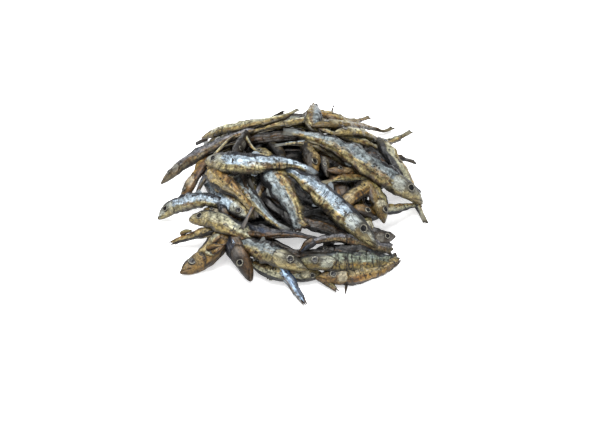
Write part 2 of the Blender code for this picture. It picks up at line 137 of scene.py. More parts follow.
SPRATS = (
    # The fish on top
    Sprat("ridge_right", "blue", 18, RIGHT, 34,
          ((421, 201, 3), (409, 191, 6), (396, 183, 7), (379, 172.5, 8), (363, 162, 8), (347, 152, 8),
           (328, 142.5, 8), (300, 134, 5), (276, 131, 2)), None, 1.22),
    Sprat("centre_right", "silver", 17.5, RIGHT, 22,
          ((375.5, 244.5, 4), (359, 227.5, 7), (335, 206, 9), (313, 187, 8), (296, 175, 5),
           (281, 168, 1)), None, 1.5),
    Sprat("centre_left", "silver", 16, LEFT, 22,
          ((207, 160, 6), (228, 163, 9), (255, 164.5, 10), (285, 163, 9), (303, 167, 7),
           (317, 176, 3)), None, 1.1),
    Sprat("broad_gold", "blue", 19, RIGHT, 0,
          ((258, 150, -8), (267, 166, 0), (281, 187, 5), (292, 206, 6), (302, 229, 4)), "tail"),
    Sprat("left_long", "lilac", 10.5, LEFT, 25,
          ((162, 182, 2), (182, 165.5, 4), (210, 148, 5), (240, 134, 4), (270, 126, 0))),
    Sprat("top_left", "cream", 11, LEFT, 10,
          ((203, 137, 3), (225, 130, 4), (250, 125, 5), (277, 119, 6), (299, 109, 9))),
    Sprat("right_edge", "cream", 14, RIGHT, 0,
          ((379, 138, 4), (390.5, 154.5, 5), (401, 171, 4), (410.5, 188, 1), (417, 205, -1),
           (426, 223, -1))),
    Sprat("left_mid", "golden", 14.5, RIGHT, 0,
          ((211, 172, 2), (221, 181, 5), (233, 190, 6), (245, 201, 5), (257, 218, -1)), "head"),
    Sprat("left_pale", "cream", 14.5, LEFT, 0,
          ((191, 218.5, 3), (208, 218.5, 5), (224, 223.5, 6), (238, 231, 3), (256, 241, -5),
           (275, 250, -10))),
    Sprat("left_blue", "silver", 12.5, LEFT, 26,
          ((159, 217.5, 2), (172, 207, 3), (187, 202.5, 4), (207, 199.5, 4), (224, 205, -2),
           (243, 216, -9)), None, 1.05),
    Sprat("front_left", "blue", 16, RIGHT, 0,
          ((305, 268.5, 6), (290, 261.5, 7), (273, 254.5, 7), (257, 248.5, 5),
           (241, 243, 1)), "tail", 1.75),
    Sprat("banded", "banded", 14.5, LEFT, 0,
          ((296, 263, 0), (316, 262, 5), (340, 262, 6), (366, 261.5, 6), (396, 261, 3)), "tail", 1.35),
    Sprat("open_belly", "golden", 17.5, LEFT, 0,
          ((182, 271.5, 2), (196, 264, 4), (211, 252.5, 4), (221, 237, 0), (229, 217, -7),
           (236, 198, -12)), None, 0.84),
    Sprat("dark_head", "navy", 15.5, LEFT, 0,
          ((249.5, 279, 2), (244.5, 266, 4), (237.5, 251, 3), (231, 238, 0), (226, 222, -7),
           (222, 205, -12)), None, 1.15),
    Sprat("front_right", "golden", 14.5, LEFT, 0,
          ((318, 277.5, 1), (333, 276, 3), (352, 275, 4), (374, 271, 3), (387, 265.5, 1),
           (396, 259, -1)), "tail", 1.25),
    Sprat("centre_low", "navy", 10.5, LEFT, 0,
          ((218, 221, -8), (236, 227, -3), (262, 233, 2), (285, 234, 4), (300, 235, 4), (317, 240, 2))),
    Sprat("silver_small", "blue", 12, LEFT, 0,
          ((232, 172, -12), (246, 192, -3), (260, 209, 2), (269, 218, 4), (278, 225, 4), (290, 232, 3))),
    Sprat("pale_tail", "lilac", 9, RIGHT, 0,
          ((283, 150, -16), (268, 175, -9), (257, 198, -1), (250, 213, 6), (241, 230, 7))),
    Sprat("front_tail", "steel", 10.5, LEFT, 35,
          ((238, 215, -14), (257, 240, -8), (276, 262, 2), (290, 281, 4), (304.5, 303, 0)), "tail"),
    Sprat("umber_low", "umber", 10, LEFT, 20,
          ((338, 233, -2), (322, 227, -1), (306, 223, -1), (290, 216, -6), (276, 208, -12)), "head"),
    # The right side
    Sprat("right_small", "olive", 14, RIGHT, 0,
          ((384, 221, 3), (381, 208, 5), (375, 193, 2), (367, 180, -4), (354, 165, -10),
           (338, 152, -14)), None, 0.75),
    Sprat("right_tail", "cream", 12, RIGHT, 0,
          ((318, 229, -13), (340, 221, -11), (362, 214, -7), (388, 209.5, -2), (421, 204, 0))),
    Sprat("arched", "golden", 11.5, LEFT, 0,
          ((331, 217, -6), (344, 204, 0), (355, 194, 2), (368, 187, 1), (385, 181, -7), (402, 172, -13))),
    Sprat("mid_right", "olive", 12, LEFT, 0,
          ((402, 183, -8), (379, 178, -2), (356, 178, 2), (335, 180, 2), (318, 185, 0))),
    Sprat("rust_right", "rusty", 9, LEFT, 0,
          ((328, 170, -2), (341, 171, -1), (360, 174, -4), (382, 180, -10), (404, 183, -14))),
    Sprat("olive_mid", "umber", 14, LEFT, 0,
          ((333, 170, -10), (338, 185, -5), (342, 200, -5), (338, 217, -9), (330, 235, -13))),
    Sprat("lilac_low", "lilac", 10.5, RIGHT, 0,
          ((390, 249, -2), (372, 244.5, 0), (348, 238, 2), (325, 238.5, 3), (311, 243, 3),
           (299, 253, 3)), "head"),
    Sprat("dark_right", "umber", 12, RIGHT, 20,
          ((394, 236, 1), (380, 237, 2), (360, 231, -3), (336, 226, -9), (310, 224, -13))),
    Sprat("umber_right", "olive", 11, LEFT, 0,
          ((369, 243, -3), (368, 228, 0), (363, 212, -5), (357, 197, -10), (350, 182, -15))),
    Sprat("brown_scrap", "rusty", 13, LEFT, 20,
          ((377, 215, 0), (364, 211, 1), (350, 208, -3), (332, 205, -10))),
    Sprat("under_ridge", "blue", 12, RIGHT, 0,
          ((380, 178, -6), (350, 162, -2), (325, 148, 2), (300, 143, 2), (273, 146, 0))),
    Sprat("under_ridge_2", "navy", 9, RIGHT, 0,
          ((374, 187, -11), (350, 170, -6), (331, 158, -3), (306, 151, -6), (284, 150, -9))),
    Sprat("golden_head", "golden", 16, LEFT, 40,
          ((313, 174, 0), (312, 161, 1), (309, 149, -3), (303, 134, -10), (296, 118, -15)), None, 0.62),
    Sprat("grey_upright", "lilac", 8.5, LEFT, 0,
          ((327, 176, -6), (324, 161, -4), (321, 149, -9), (316, 133, -14))),
    Sprat("navy_gap", "shaded_black", 12, LEFT, 20,
          ((350, 140, -12), (370, 153, -3), (386, 164, -1), (400, 178, -3), (411, 192, -6))),
    Sprat("stick_high", "cream", 11, LEFT, 0,
          ((318, 144, -15), (345, 145, -11), (370, 144.5, -6), (391, 141.5, 0), (411.5, 131, 6))),
    Sprat("stick_dark", "umber", 14, RIGHT, 0,
          ((335, 166, -15), (360, 161, -11), (385, 156.5, -5), (402, 158.5, -2), (415, 162, -1))),
    # The far edge
    Sprat("top_streak", "cream", 10, RIGHT, 0,
          ((335, 124, -3), (310, 121, 0), (285, 124, 2), (258, 130, 1), (227, 140, -2))),
    Sprat("top_dark", "umber", 11, RIGHT, 20,
          ((312, 136, -7), (282, 136, -4), (252, 140, -4), (222, 146, -6))),
    Sprat("umber_top", "olive", 10, LEFT, 10,
          ((330, 130, -8), (305, 129.5, -5), (280, 129, -4), (254, 135, -6))),
    Sprat("left_strand", "cream", 8, LEFT, -10,
          ((177, 169, -1), (200, 157, 0), (222, 149, -2), (246, 140, -5))),
    Sprat("brown_head", "umber", 11, LEFT, 90,
          ((233, 161, 12), (238, 149, 9), (246, 138, 2), (262, 124, -9), (285, 112, -14))),
    Sprat("hook", "blue", 12.5, RIGHT, 0,
          ((336, 148, -14), (322, 139, -9), (314, 127, 1), (313.5, 114, 7), (315, 104, 9)), "tail"),
    Sprat("gold_back", "golden", 9.5, LEFT, 30,
          ((296, 124, -8), (312, 113.5, 0), (326, 114.5, 3), (340, 119.5, 2), (354, 121.5, 1),
           (370, 117, 4))),
    Sprat("eye_top", "olive", 13, LEFT, 0,
          ((313, 126, 3), (328, 124, 5), (348, 126, 2), (370, 127, 1), (383, 131.5, 0), (393.5, 127, 4))),
    Sprat("tan_edge", "cream", 9, RIGHT, 0,
          ((392, 160, -9), (372, 146, -3), (350, 139, 1), (325, 131, 2), (303, 121, 3))),
    Sprat("tan_head", "cream", 11, LEFT, 0,
          ((334, 134, 5), (345, 132, 6), (360, 133, 4), (378, 141, -2), (392, 153, -9), (402, 168, -15))),
    # The left side
    Sprat("left_gold", "rusty", 11, LEFT, 10,
          ((178, 206, -5), (186, 193, -2), (192, 182, -1), (199, 170, -1), (209, 158, -3), (224, 144, -8),
           (242, 127, -14))),
    Sprat("left_grey", "lilac", 11, RIGHT, 0,
          ((238, 141, -15), (222, 157, -9), (209, 172, -5), (199, 189, -6), (192, 206, -8))),
    Sprat("left_stick", "golden", 9.5, LEFT, 20,
          ((264, 212, -11), (237, 221, -6), (212, 230, 0), (190, 236.5, 1), (171.5, 243, 0)), "tail"),
    Sprat("gill_piece", "silver", 14.5, LEFT, 0,
          ((249, 217, 0), (238, 209, 1), (226, 199, -1), (214, 187, -8), (203, 170, -14)), None, 0.8),
    Sprat("navy_column", "navy", 9.5, LEFT, 20,
          ((226.5, 227, -5), (224.5, 210, 0), (221, 196, -3), (215, 179, -12))),
    Sprat("dark_middle", "shaded_black", 11, LEFT, 20,
          ((299, 227, 1), (290, 217, 2), (275, 205, -1), (262, 191, -6), (250, 176, -12))),
    Sprat("umber_tail", "umber", 8, LEFT, 0,
          ((242, 150, -14), (244, 172, -7), (249, 193, 0), (257, 219, 3))),
    Sprat("umber_head", "olive", 10, LEFT, 70,
          ((255, 194, -3), (252, 182, -1), (248, 168, -6), (244, 151, -14))),
    Sprat("tan_notch", "golden", 9, LEFT, 0,
          ((205, 209, -2), (214, 211, -3), (228, 216, -8), (246, 224, -13))),
    # The near edge
    Sprat("dark_low", "umber", 7.5, LEFT, 10,
          ((250, 234, -9), (266, 241, -3), (282, 249.5, -1), (300, 254.5, 0), (335, 253, -2),
           (368, 251, -4))),
    Sprat("right_strip", "shaded_black", 9.5, LEFT, 0,
          ((316, 250, -7), (345, 250, -1), (370, 253, 3), (387, 258, 3), (398, 263, 1))),
    Sprat("front_under", "cream", 11.5, LEFT, 0,
          ((322, 275, -4), (305, 274.5, -1), (287, 274, 0), (268, 270.5, 0), (252, 263, -4),
           (236, 252, -9))),
)

# Torn fins, ribs, jaws and sticks that lie among the fish: look, greatest height and path as above
Sliver = namedtuple("Sliver", "look height path")
SLIVERS = (
    Sliver("umber", 2.6, ((346.5, 272, 3), (346.5, 282, 3), (345.5, 292.5, 1))),
    Sliver("olive", 5.5, ((319, 278, 1), (326, 281.5, 2), (331, 285.5, 2), (336, 290, 0))),
    Sliver("umber", 3.2, ((331, 115, 3), (332.5, 110, 5), (333.5, 105, 6))),
    Sliver("rusty", 6.0, ((280, 120, 4), (287, 116, 6), (293, 113.5, 6))),
    Sliver("umber", 5.0, ((197, 143.5, 4), (201.5, 141, 5), (206, 140, 5))),
    Sliver("cream", 3.2, ((214, 155, 8), (222, 147, 8), (229, 139.5, 7), (236, 135, 5))),
    Sliver("cream", 2.6, ((246, 136, 5), (250.5, 145, 7), (257, 151, 9), (266, 153, 9))),
    Sliver("olive", 3.6, ((181, 233.5, 3), (186, 231.5, 4), (191, 231, 3))),
    Sliver("navy", 6.5, ((314, 241, 5), (307, 245.5, 5), (300, 252, 4))),
    Sliver("steel", 2.8, ((232, 240, 5.5), (236, 249, 7), (240.5, 257, 8))),
    Sliver("rusty", 4.6, ((206, 249.5, 8), (213, 246, 9), (222, 246, 7))),
    Sliver("rusty", 3.8, ((212, 253, 8), (218, 250, 8), (225, 243.5, 5))),
    Sliver("cream", 6.5, ((212, 241, 7), (217, 237.5, 7), (222, 235.5, 4))),
    Sliver("cream", 3.4, ((206, 252.5, 10), (209, 253.8, 10.5), (212, 255, 10))),
)


# The fish that lie round the far side, out of sight: how many, the arc they lie on and how they vary
FAR_COUNT = 15
FAR_SEED = 7
FAR_ARC = (math.radians(20.0), math.radians(160.0))
FAR_RADIUS = (62.0, 88.0)
FAR_LENGTH = (78.0, 104.0)
FAR_HEIGHT = (10.0, 14.0)
FAR_SPREAD = 0.9
FAR_ROLL = (0.0, 40.0)
FAR_LIFT = -7.5
FAR_LIMIT = 97.0
FAR_STEPS = 6
FAR_TRIES = 24

# The fish that are seen hide what lies inside an oval of the frame: its middle and half sizes in pixels
VIEW_OVAL_MIDDLE = (296.0, 206.0)
FAR_VIEW_HALF = (103.0, 75.0)
BURIED_VIEW_HALF = (98.0, 55.0)
HIDDEN_ENOUGH = 0.8

# The fish beneath, which show only in the gaps
BURIED_COUNT = 64
BURIED_TRIES = 600
BURIED_SEED = 23
BURIED_LIFT = (-19.0, -12.0)
BURIED_REACH = 84.0
BURIED_LENGTH = (78.0, 100.0)
BURIED_HEIGHT = (10.0, 13.5)
BURIED_LOOKS = ("navy", "umber", "navy", "umber", "olive")
# Share of their colours kept: painted shade for lying deep in the heap
BURIED_SHADE = 0.52
# Fish low in the hollow of the far slope: distance from the mound's middle, angle round it, slant, look
HOLLOW = (
    (33.0, 1.72, 0.35, "olive"),
    (38.0, 2.02, 2.75, "lilac"),
    (43.0, 1.88, 1.05, "umber"),
    (31.0, 2.20, 1.95, "golden"),
    (40.0, 1.60, 2.30, "navy"),
)
HOLLOW_LENGTH = 64.0
HOLLOW_HEIGHT = 11.0
HOLLOW_LIFT = -9.0
HOLLOW_ROLL = 30.0
# Share of their colours kept: painted shade for lying low in the hollow
HOLLOW_SHADE = 0.75

# Shares of the skin's colour lost to painted shade low on a fish and deep in the mound
LOW_PAINTED_SHADE, DEEP_PAINTED_SHADE = 0.64, 0.60

# How far the eyes stand out of their sockets, in mm
EYE_LIFT = 0.55

# The gaps through which the bare floor shows, as pixels across and down and a radius in pixels
GAPS = (
    (293.0, 245.0, 17.0), (306.0, 243.0, 16.0), (206.0, 187.0, 14.0), (392.0, 196.0, 14.0),
    (405.0, 197.0, 14.0), (388.0, 224.0, 13.0), (230.0, 258.0, 12.0), (186.0, 228.0, 12.0),
    (186.0, 172.0, 12.0), (300.0, 112.0, 13.0),
)

# The mound in the middle, painted dark as the shade among the fish
CORE_HALF_WIDTH = 58.0
CORE_HALF_DEPTH = 52.0
CORE_HEIGHT = 26.0
CORE_MIDDLE = (2.78, 23.3)

# How far a drying fish may twist, in degrees, how deep its flank may sink, in mm, and how full it stays
TWIST = 16.0
SUNK = (0.3, 1.0)
FULLNESS = (0.88, 1.1)

# Heights and depths of the relief in mm, on a fish of the usual height
USUAL_HEIGHT = 14.0
GILL_STEP, GILL_CUT, CHEEK_CUT = 0.45, 0.3, 0.22
SOCKET_RIM, SOCKET_DEPTH, MOUTH_CUT = 0.35, 0.5, 0.55
FOLD, DENT, FINE_DENT, KEEL, RAY = 0.28, 0.45, 0.26, 0.14, 0.10

# Where the eye lies across the height, how tall the head is there as a share of half the fish's height, and
# how the mouth slants, in the relief and in the colours
EYE_ACROSS, HEAD_TALL = 0.27, 0.62
MOUTH_RISE, MOUTH_SLOPE = 0.02, 9.0

# Where the fins stand on the colour map of a fish, and how often a fin is kept
FIN_RISE, FIN_ALONG = 0.2, 0.92
FIN_CHANCE = 0.75

# The first seed of each group of fish after those in the table
FAR_SEEDS, BURIED_SEEDS, SLIVER_SEEDS, HOLLOW_SEEDS = 100, 200, 300, 400

# How far a buried fish slants from the way round the heap, in radians, and how far it rolls, in degrees
BURIED_SPREAD = 0.7
BURIED_ROLL = (-20.0, 60.0)

# The core's grid, and the share of its rings that lie flat underneath
CORE_RINGS, CORE_SIDES = 28, 96
CORE_FOOT = 0.12

# Places on the map that both eyes of each fish may take
EYE_CELLS = 180

# How finely a sight line is searched, from so far above the mound's top, in mm
SEARCH_ABOVE, SEARCH_STEPS = 25.0, 285

# Steps of a curve between two given points, and rounds that smooth it
CURVE_STEPS, SMOOTHING_ROUNDS = 16, 30

# Steps of a profile line, and how many of them its corners are rounded over
LINE_STEPS, LINE_WINDOW = 425, 21

# The floor: half its side in metres, its colour and its glow
FLOOR_HALF = 3.0
FLOOR_COLOUR = (0.90, 0.90, 0.90, 1.0)
FLOOR_GLOW = 0.48

# The light: an even white world and two softboxes (name, place, size, power) aimed at one point
WHITE = (1.0, 1.0, 1.0, 1.0)
WORLD_STRENGTH = 0.55
LIGHT_TARGET = (0.0, 0.0, 0.02)
SOFTBOXES = (
    ("key", (-0.08, 0.12, 1.00), (1.10, 0.90), 25.0),
    ("front", (0.25, -0.9, 0.75), (0.8, 0.6), 3.5),
)


def dimmed(look, share):
    """A look with its colours darkened, as painted shade."""
    back, flank, belly = (tuple(c * share for c in colour) for colour in look[:3])
    return Look(back, flank, belly, look.metallic, look.roughness)


def linear(colour):
    """A colour as seen, turned into the light that it stands for."""
    return tuple(c / 12.92 if c <= 0.04045 else ((c + 0.055) / 1.055) ** 2.4 for c in colour) + (1.0,)


def mound_skin(x, y):
    """Height of the mound's smooth skin, below the floor outside its edge."""
    distance_squared = (x - MOUND_MIDDLE[0]) ** 2 + (y - MOUND_MIDDLE[1]) ** 2
    return MOUND_HEIGHT * (1.0 - distance_squared / MOUND_RADIUS**2)


def mound_up(x, y):
    """Unit vector straight out of the mound's skin."""
    steep = 2.0 * MOUND_HEIGHT / MOUND_RADIUS**2
    up = np.array((steep * (x - MOUND_MIDDLE[0]), steep * (y - MOUND_MIDDLE[1]), 1.0))
    return up / np.linalg.norm(up)


VIEW_RIGHT = np.array((1.0, 0.0, 0.0))
VIEW_AHEAD = np.array((0.0, math.cos(VIEW_ELEVATION), -math.sin(VIEW_ELEVATION)))
VIEW_UP = np.array((0.0, math.sin(VIEW_ELEVATION), math.cos(VIEW_ELEVATION)))
EYE_POINT = AIM - VIEW_DISTANCE * VIEW_AHEAD
PIXEL_TANGENT = PIXEL / VIEW_DISTANCE


def on_mound(across, down, lift):
    """Where the sight line through a pixel first comes down to the skin raised by lift, or passes nearest."""
    line = VIEW_AHEAD + VIEW_RIGHT * (across - FRAME_MIDDLE[0]) * PIXEL_TANGENT
    line = line + VIEW_UP * (FRAME_MIDDLE[1] - down) * PIXEL_TANGENT
    heights = np.linspace(MOUND_HEIGHT + SEARCH_ABOVE, 0.0, SEARCH_STEPS)
    points = EYE_POINT + line * ((heights - EYE_POINT[2]) / line[2])[:, None]
    gaps = heights - mound_skin(points[:, 0], points[:, 1]) - lift
    below = np.nonzero(gaps <= 0.0)[0]
    first = below[0] if len(below) else int(np.argmin(gaps))
    height = max(heights[first], LOWEST_CENTRE)
    return EYE_POINT + line * (height - EYE_POINT[2]) / line[2]


def pixel_of(points):
    """The pixels at which points are seen."""
    offset = np.asarray(points) - EYE_POINT
    depth = offset @ VIEW_AHEAD * PIXEL_TANGENT
    across = FRAME_MIDDLE[0] + offset @ VIEW_RIGHT / depth
    down = FRAME_MIDDLE[1] - offset @ VIEW_UP / depth
    return np.stack([across, down], 1)


def smooth_path(points, count):
    """Points at even steps along a smooth curve through the given ones, and the curve's length."""
    points = np.array(points, dtype=float)
    padded = np.vstack([2 * points[0] - points[1], points, 2 * points[-1] - points[-2]])
    steps = np.linspace(0.0, 1.0, CURVE_STEPS, endpoint=False)[:, None]
    curve = []
    for before, start, end, after in zip(padded, padded[1:], padded[2:], padded[3:]):
        bend = 2 * before - 5 * start + 4 * end - after
        twist = 3 * start - before - 3 * end + after
        curve.append(0.5 * (2 * start + (end - before) * steps + bend * steps**2 + twist * steps**3))
    curve = np.vstack(curve + [points[-1:]])
    for _ in range(SMOOTHING_ROUNDS):
        curve[1:-1] += 0.25 * (curve[:-2] - 2 * curve[1:-1] + curve[2:])
    travelled = np.concatenate([[0.0], np.cumsum(np.linalg.norm(np.diff(curve, axis=0), axis=1))])
    length = min(travelled[-1], LONGEST)
    wanted = np.linspace(0.0, length, count)
    return np.stack([np.interp(wanted, travelled, curve[:, axis]) for axis in range(3)], axis=1), length


def eased(along, line):
    """A profile line read at given places, its corners rounded."""
    knots = np.array(line)
    dense = np.linspace(-0.03, 1.03, LINE_STEPS)
    values = np.interp(dense, knots[:, 0], knots[:, 1])
    window = np.hanning(LINE_WINDOW)
    padded = np.pad(values, LINE_WINDOW // 2, mode="edge")
    return np.interp(along, dense, np.convolve(padded, window / window.sum(), mode="valid"))


def waves(points, size, seed, count=7):
    """Smooth uneven waves over points, about size long and one high."""
    chance = np.random.default_rng(seed)
    total = 0.0
    for _ in range(count):
        direction = chance.normal(size=points.shape[-1])
        direction *= 2 * math.pi / (size * chance.uniform(0.7, 1.5) * np.linalg.norm(direction))
        total = total + np.sin(points @ direction + chance.uniform(0.0, 2 * math.pi))
    return total / math.sqrt(count / 2)


def bell(distance, width):
    return np.exp(-((distance / width) ** 2))


def step(value, start, end):
    """0 before start, 1 after end and smooth between."""
    share = np.clip((value - start) / (end - start), 0.0, 1.0)
    return share * share * (3 - 2 * share)


class Fish:
    """One dried fish along its path, whose skin can be read anywhere."""

    def __init__(self, points, height, back, roll, seed, look, torn=None, buried=False, head=1.0):
        self.height, self.seed, self.look, self.torn, self.head = height, seed, look, torn, head
        self.path, self.length = smooth_path(points, PATH_STEPS)
        self.start = TORN_HEAD if torn in ("head", "both") else 0.0
        self.end = TORN_TAIL if torn in ("tail", "both") else 1.0
        self.buried = buried
        if buried:
            self.end = min(self.end, self.length / (SLENDERNESS * height))
        chance = random.Random(seed)
        self.twist = math.radians(chance.uniform(-TWIST, TWIST))
        self.sunk = chance.uniform(*SUNK)
        self.fullness = chance.uniform(*FULLNESS)
        self.tangents = np.gradient(self.path, axis=0)
        self.tangents /= np.linalg.norm(self.tangents, axis=1)[:, None]
        middle = self.path[PATH_STEPS // 2]
        up = mound_up(middle[0], middle[1])
        out = up - (self.tangents @ up)[:, None] * self.tangents
        out /= np.linalg.norm(out, axis=1)[:, None]
        dorsal = np.cross(out, self.tangents) * back
        shares = np.linspace(-0.3, 0.7, PATH_STEPS)
        turn = (math.radians(roll) + self.twist * shares)[:, None]
        self.crest = dorsal * np.cos(turn) + out * np.sin(turn)
        self.flank = out * np.cos(turn) - dorsal * np.sin(turn)

    def stretch(self, along):
        """Shares of the length for places on the profile lines, of which a big head takes up more."""
        shares = (0.0, HEAD_UNIT * self.head, BODY_HALF + NECK_SHARE * (self.head - 1.0), 1.0)
        return np.interp(along, (0.0, HEAD_UNIT, BODY_HALF, 1.0), shares)

    def read(self, values, along):
        start, end = self.stretch(self.start), self.stretch(self.end)
        share = (self.stretch(along) - start) / (end - start) * (PATH_STEPS - 1)
        share = np.clip(share, 0, PATH_STEPS - 1)
        low = np.minimum(share.astype(int), PATH_STEPS - 2)
        part = (share - low)[..., None]
        return values[low] * (1 - part) + values[low + 1] * part

    def scale(self):
        """Millimetres for the whole length from snout to tail."""
        return self.length / (self.end - self.start)

    def skin(self, along, around, lift=0.0):
        """Points and normals of the skin; around is 0 at the back and pi at the belly."""
        rise, side = np.cos(around), np.sin(around)
        half = self.height / 2
        uneven = waves(along[..., None] * self.scale(), 22.0, self.seed + 1, 4)
        swell = 1.0 + 0.05 * uneven * step(along, 0.1, 0.3)
        back = eased(along, BACK_LINE) * half * swell
        belly = eased(along, BELLY_LINE) * half * swell
        flank = eased(along, FLANK_LINE) * half * self.fullness
        tall = np.where(rise > 0, back, belly)
        upper = np.sign(side) * np.abs(side) ** 0.85
        lower = np.sign(side) * np.abs(side) ** 1.1
        wide = flank * np.where(rise > 0, upper, lower)
        centre = self.read(self.path, along)
        crest, outward = self.read(self.crest, along), self.read(self.flank, along)
        tangent = self.read(self.tangents, along)
        normal = crest * (rise * flank)[..., None] + outward * (side * tall)[..., None]
        normal /= np.linalg.norm(normal, axis=-1, keepdims=True)
        place = centre + crest * (rise * tall)[..., None] + outward * wide[..., None]
        place = place + tangent * self.shift(along, rise)[..., None]
        local = np.stack([along * self.scale(), wide, rise * tall], axis=-1)
        relief = self.relief(along, rise, around, local) + lift
        own = local + (0.0, self.seed * 61.0, self.seed * 17.0)
        return place + normal * relief[..., None], normal, tangent, own

    def shift(self, along, rise):
        """Moves the skin along the fish: the lower jaw forward, the tail's fork back, torn ends ragged."""
        jaw = -0.011 * self.scale() * step(-rise, -0.1, 0.5) * (1 - step(along, 0.0, 0.06))
        fork = -0.014 * self.scale() * (1 - np.abs(rise)) * step(along, 0.95, 1.0)
        ragged = 0.0
        if self.torn or self.buried:
            torn_at = self.start if self.torn == "head" else self.end
            near = 1 - step(abs(along - torn_at), 0.0, 0.03)
            ragged = 1.6 * waves(rise[..., None] * 9.0, 7.0, self.seed + 5, 5) * near
        return jaw + fork + ragged

    def relief(self, along, rise, around, local):
        """How far the skin stands out: gill cover, cheek, eye socket, mouth, furrows, folds and dents."""
        across = local[..., 2]
        size = self.height / USUAL_HEIGHT
        gill = along - (GILL_EDGE - GILL_CURVE * (rise - GILL_MIDDLE) ** 2)
        cover = GILL_STEP * (1 - step(gill, -0.004, 0.006)) * step(along, 0.08, 0.17) * (1 - rise**2)
        cover = cover - GILL_CUT * bell(gill - 0.008, 0.006)
        cheek = -CHEEK_CUT * bell(along - (CHEEK_EDGE - 0.03 * rise**2), 0.006) * (1 - rise**2)
        from_eye = np.hypot((along - EYE_ALONG) * self.scale(), across - EYE_RISE * self.height * EYE_ACROSS)
        eye = EYE_SHARE * self.height
        socket = SOCKET_RIM * bell(from_eye - eye, 0.5) - SOCKET_DEPTH * bell(from_eye, eye * 0.8)
        slit = rise + MOUTH_RISE + MOUTH_SLOPE * along
        mouth = -MOUTH_CUT * bell(slit, 0.13) * (1 - step(along, MOUTH_END - 0.01, MOUTH_END))
        body = step(along, 0.22, 0.30) * (1 - step(along, 0.80, 0.88))
        furrow = -self.sunk * bell(rise - 0.12 - 0.1 * np.sin(along * 9.0 + self.seed), 0.22) * body
        wander = waves(local, 34.0, self.seed + 2)
        folds = FOLD * np.sin(around * 8.0 + 2.2 * wander) * body
        dents = DENT * waves(local, 15.0, self.seed + 3) + FINE_DENT * waves(local, 6.0, self.seed + 4)
        dents = dents * (0.35 + 0.65 * step(along, 0.12, 0.26)) * (1 - 0.75 * step(along, 0.78, 0.88))
        keel = KEEL * np.sin(local[..., 0] * 2.9) * step(-rise, 0.85, 1.0) * body
        rays = RAY * np.sin(rise * 26.0) * step(along, 0.88, 0.94)
        return (cover + cheek + socket + mouth + furrow + folds + dents + keel + rays) * size


class Skins:
    """Collects the meshes of one piece and the places on its map."""

    def __init__(self, cells):
        self.columns = max(1, round(math.sqrt(cells / 2)))
        self.rows = max(1, math.ceil(cells / self.columns))
        self.used = 0
        self.count = 0
        self.places, self.faces, self.corners = [], [], []
        self.values = {"rise": [], "along": [], "cut": [], "shade": []}
        self.vectors = {"spread": []}
        self.colours = {"back_colour": [], "flank_colour": [], "belly_colour": []}

    def cell(self):
        column, row = self.used % self.columns, self.used // self.columns
        self.used += 1
        return column / self.columns, row / self.rows, 0.98 / self.columns, 0.98 / self.rows

    def add(self, places, quads, corners, rise, along, cut, spread, look, shade=1.0):
        """places (n, 3) mm, quads (m, 4), corners (m, 4, 2), and one value a point or for all points."""
        self.places.append(np.maximum(places, (-1e9, -1e9, FLOOR_GAP)) * MM)
        self.faces.append(quads + self.count)
        self.corners.append(corners)
        self.count += len(places)
        for name, value in (("rise", rise), ("along", along), ("cut", cut), ("shade", shade)):
            self.values[name].append(np.broadcast_to(value, len(places)))
        self.vectors["spread"].append(spread)
        for name, colour in zip(self.colours, (look.back, look.flank, look.belly)):
            self.colours[name].append(np.tile(linear(colour), (len(places), 1)))

    def finished(self, name, material):
        mesh = bpy.data.meshes.new(name)
        faces = np.vstack(self.faces)
        mesh.from_pydata(np.vstack(self.places).tolist(), [], faces.tolist())
        mesh.polygons.foreach_set("use_smooth", np.ones(len(faces), dtype=bool))
        for key, kind, slot, groups in (
            *((key, "FLOAT", "value", value) for key, value in self.values.items()),
            *((key, "FLOAT_VECTOR", "vector", value) for key, value in self.vectors.items()),
            *((key, "FLOAT_COLOR", "color", value) for key, value in self.colours.items()),
        ):
            layer = mesh.attributes.new(key, kind, "POINT")
            layer.data.foreach_set(slot, np.concatenate(groups).astype(np.float32).ravel())
        uv = mesh.uv_layers.new(name="OFBake")
        uv.data.foreach_set("uv", np.vstack(self.corners).astype(np.float32).ravel())
        mesh.materials.append(material)
        item = bpy.data.objects.new(name, mesh)
        bpy.context.scene.collection.objects.link(item)
        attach(item, BODY)
        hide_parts(NODE)


def grid_quads(rows, columns, closed):
    """Faces of a grid of points, row by row, and their corners' places from 0 to 1."""
    last = columns if closed else columns - 1
    row, column = np.meshgrid(np.arange(rows - 1), np.arange(last), indexing="ij")
    row, column = row.ravel(), column.ravel()
    after = (column + 1) % columns
    this, above = row * columns, (row + 1) * columns
    quads = np.stack([this + column, this + after, above + after, above + column], 1)
    high, wide = rows - 1, last
    corners = np.stack([
        np.stack([row / high, column / wide], 1),
        np.stack([row / high, (column + 1) / wide], 1),
        np.stack([(row + 1) / high, (column + 1) / wide], 1),
        np.stack([(row + 1) / high, column / wide], 1),
    ], 1)
    return quads, corners


def fish_stations(fish, fineness):
    """Places along the fish, closer together on the head and at both ends."""
    head = np.arange(fish.start, min(0.25, fish.end), fineness.head)
    body = np.arange(max(0.25, fish.start), fish.end - 0.4 * fineness.body, fineness.body)
    return np.concatenate([head, body, [fish.end]])


def painted_low_shade(fish, places, along):
    """How light the skin stays: painted shade, darker low on each fish and deep in the mound."""
    centre = fish.read(fish.path, along)
    below = (centre[:, None, 2] - places[..., 2]) / (fish.height / 2)
    depth = mound_skin(centre[:, 0], centre[:, 1]) - centre[:, 2]
    return (1.0 - LOW_PAINTED_SHADE * step(below, -0.1, 0.8)) * (1.0 - DEEP_PAINTED_SHADE * step(depth, 2.0, 13.0))[:, None]


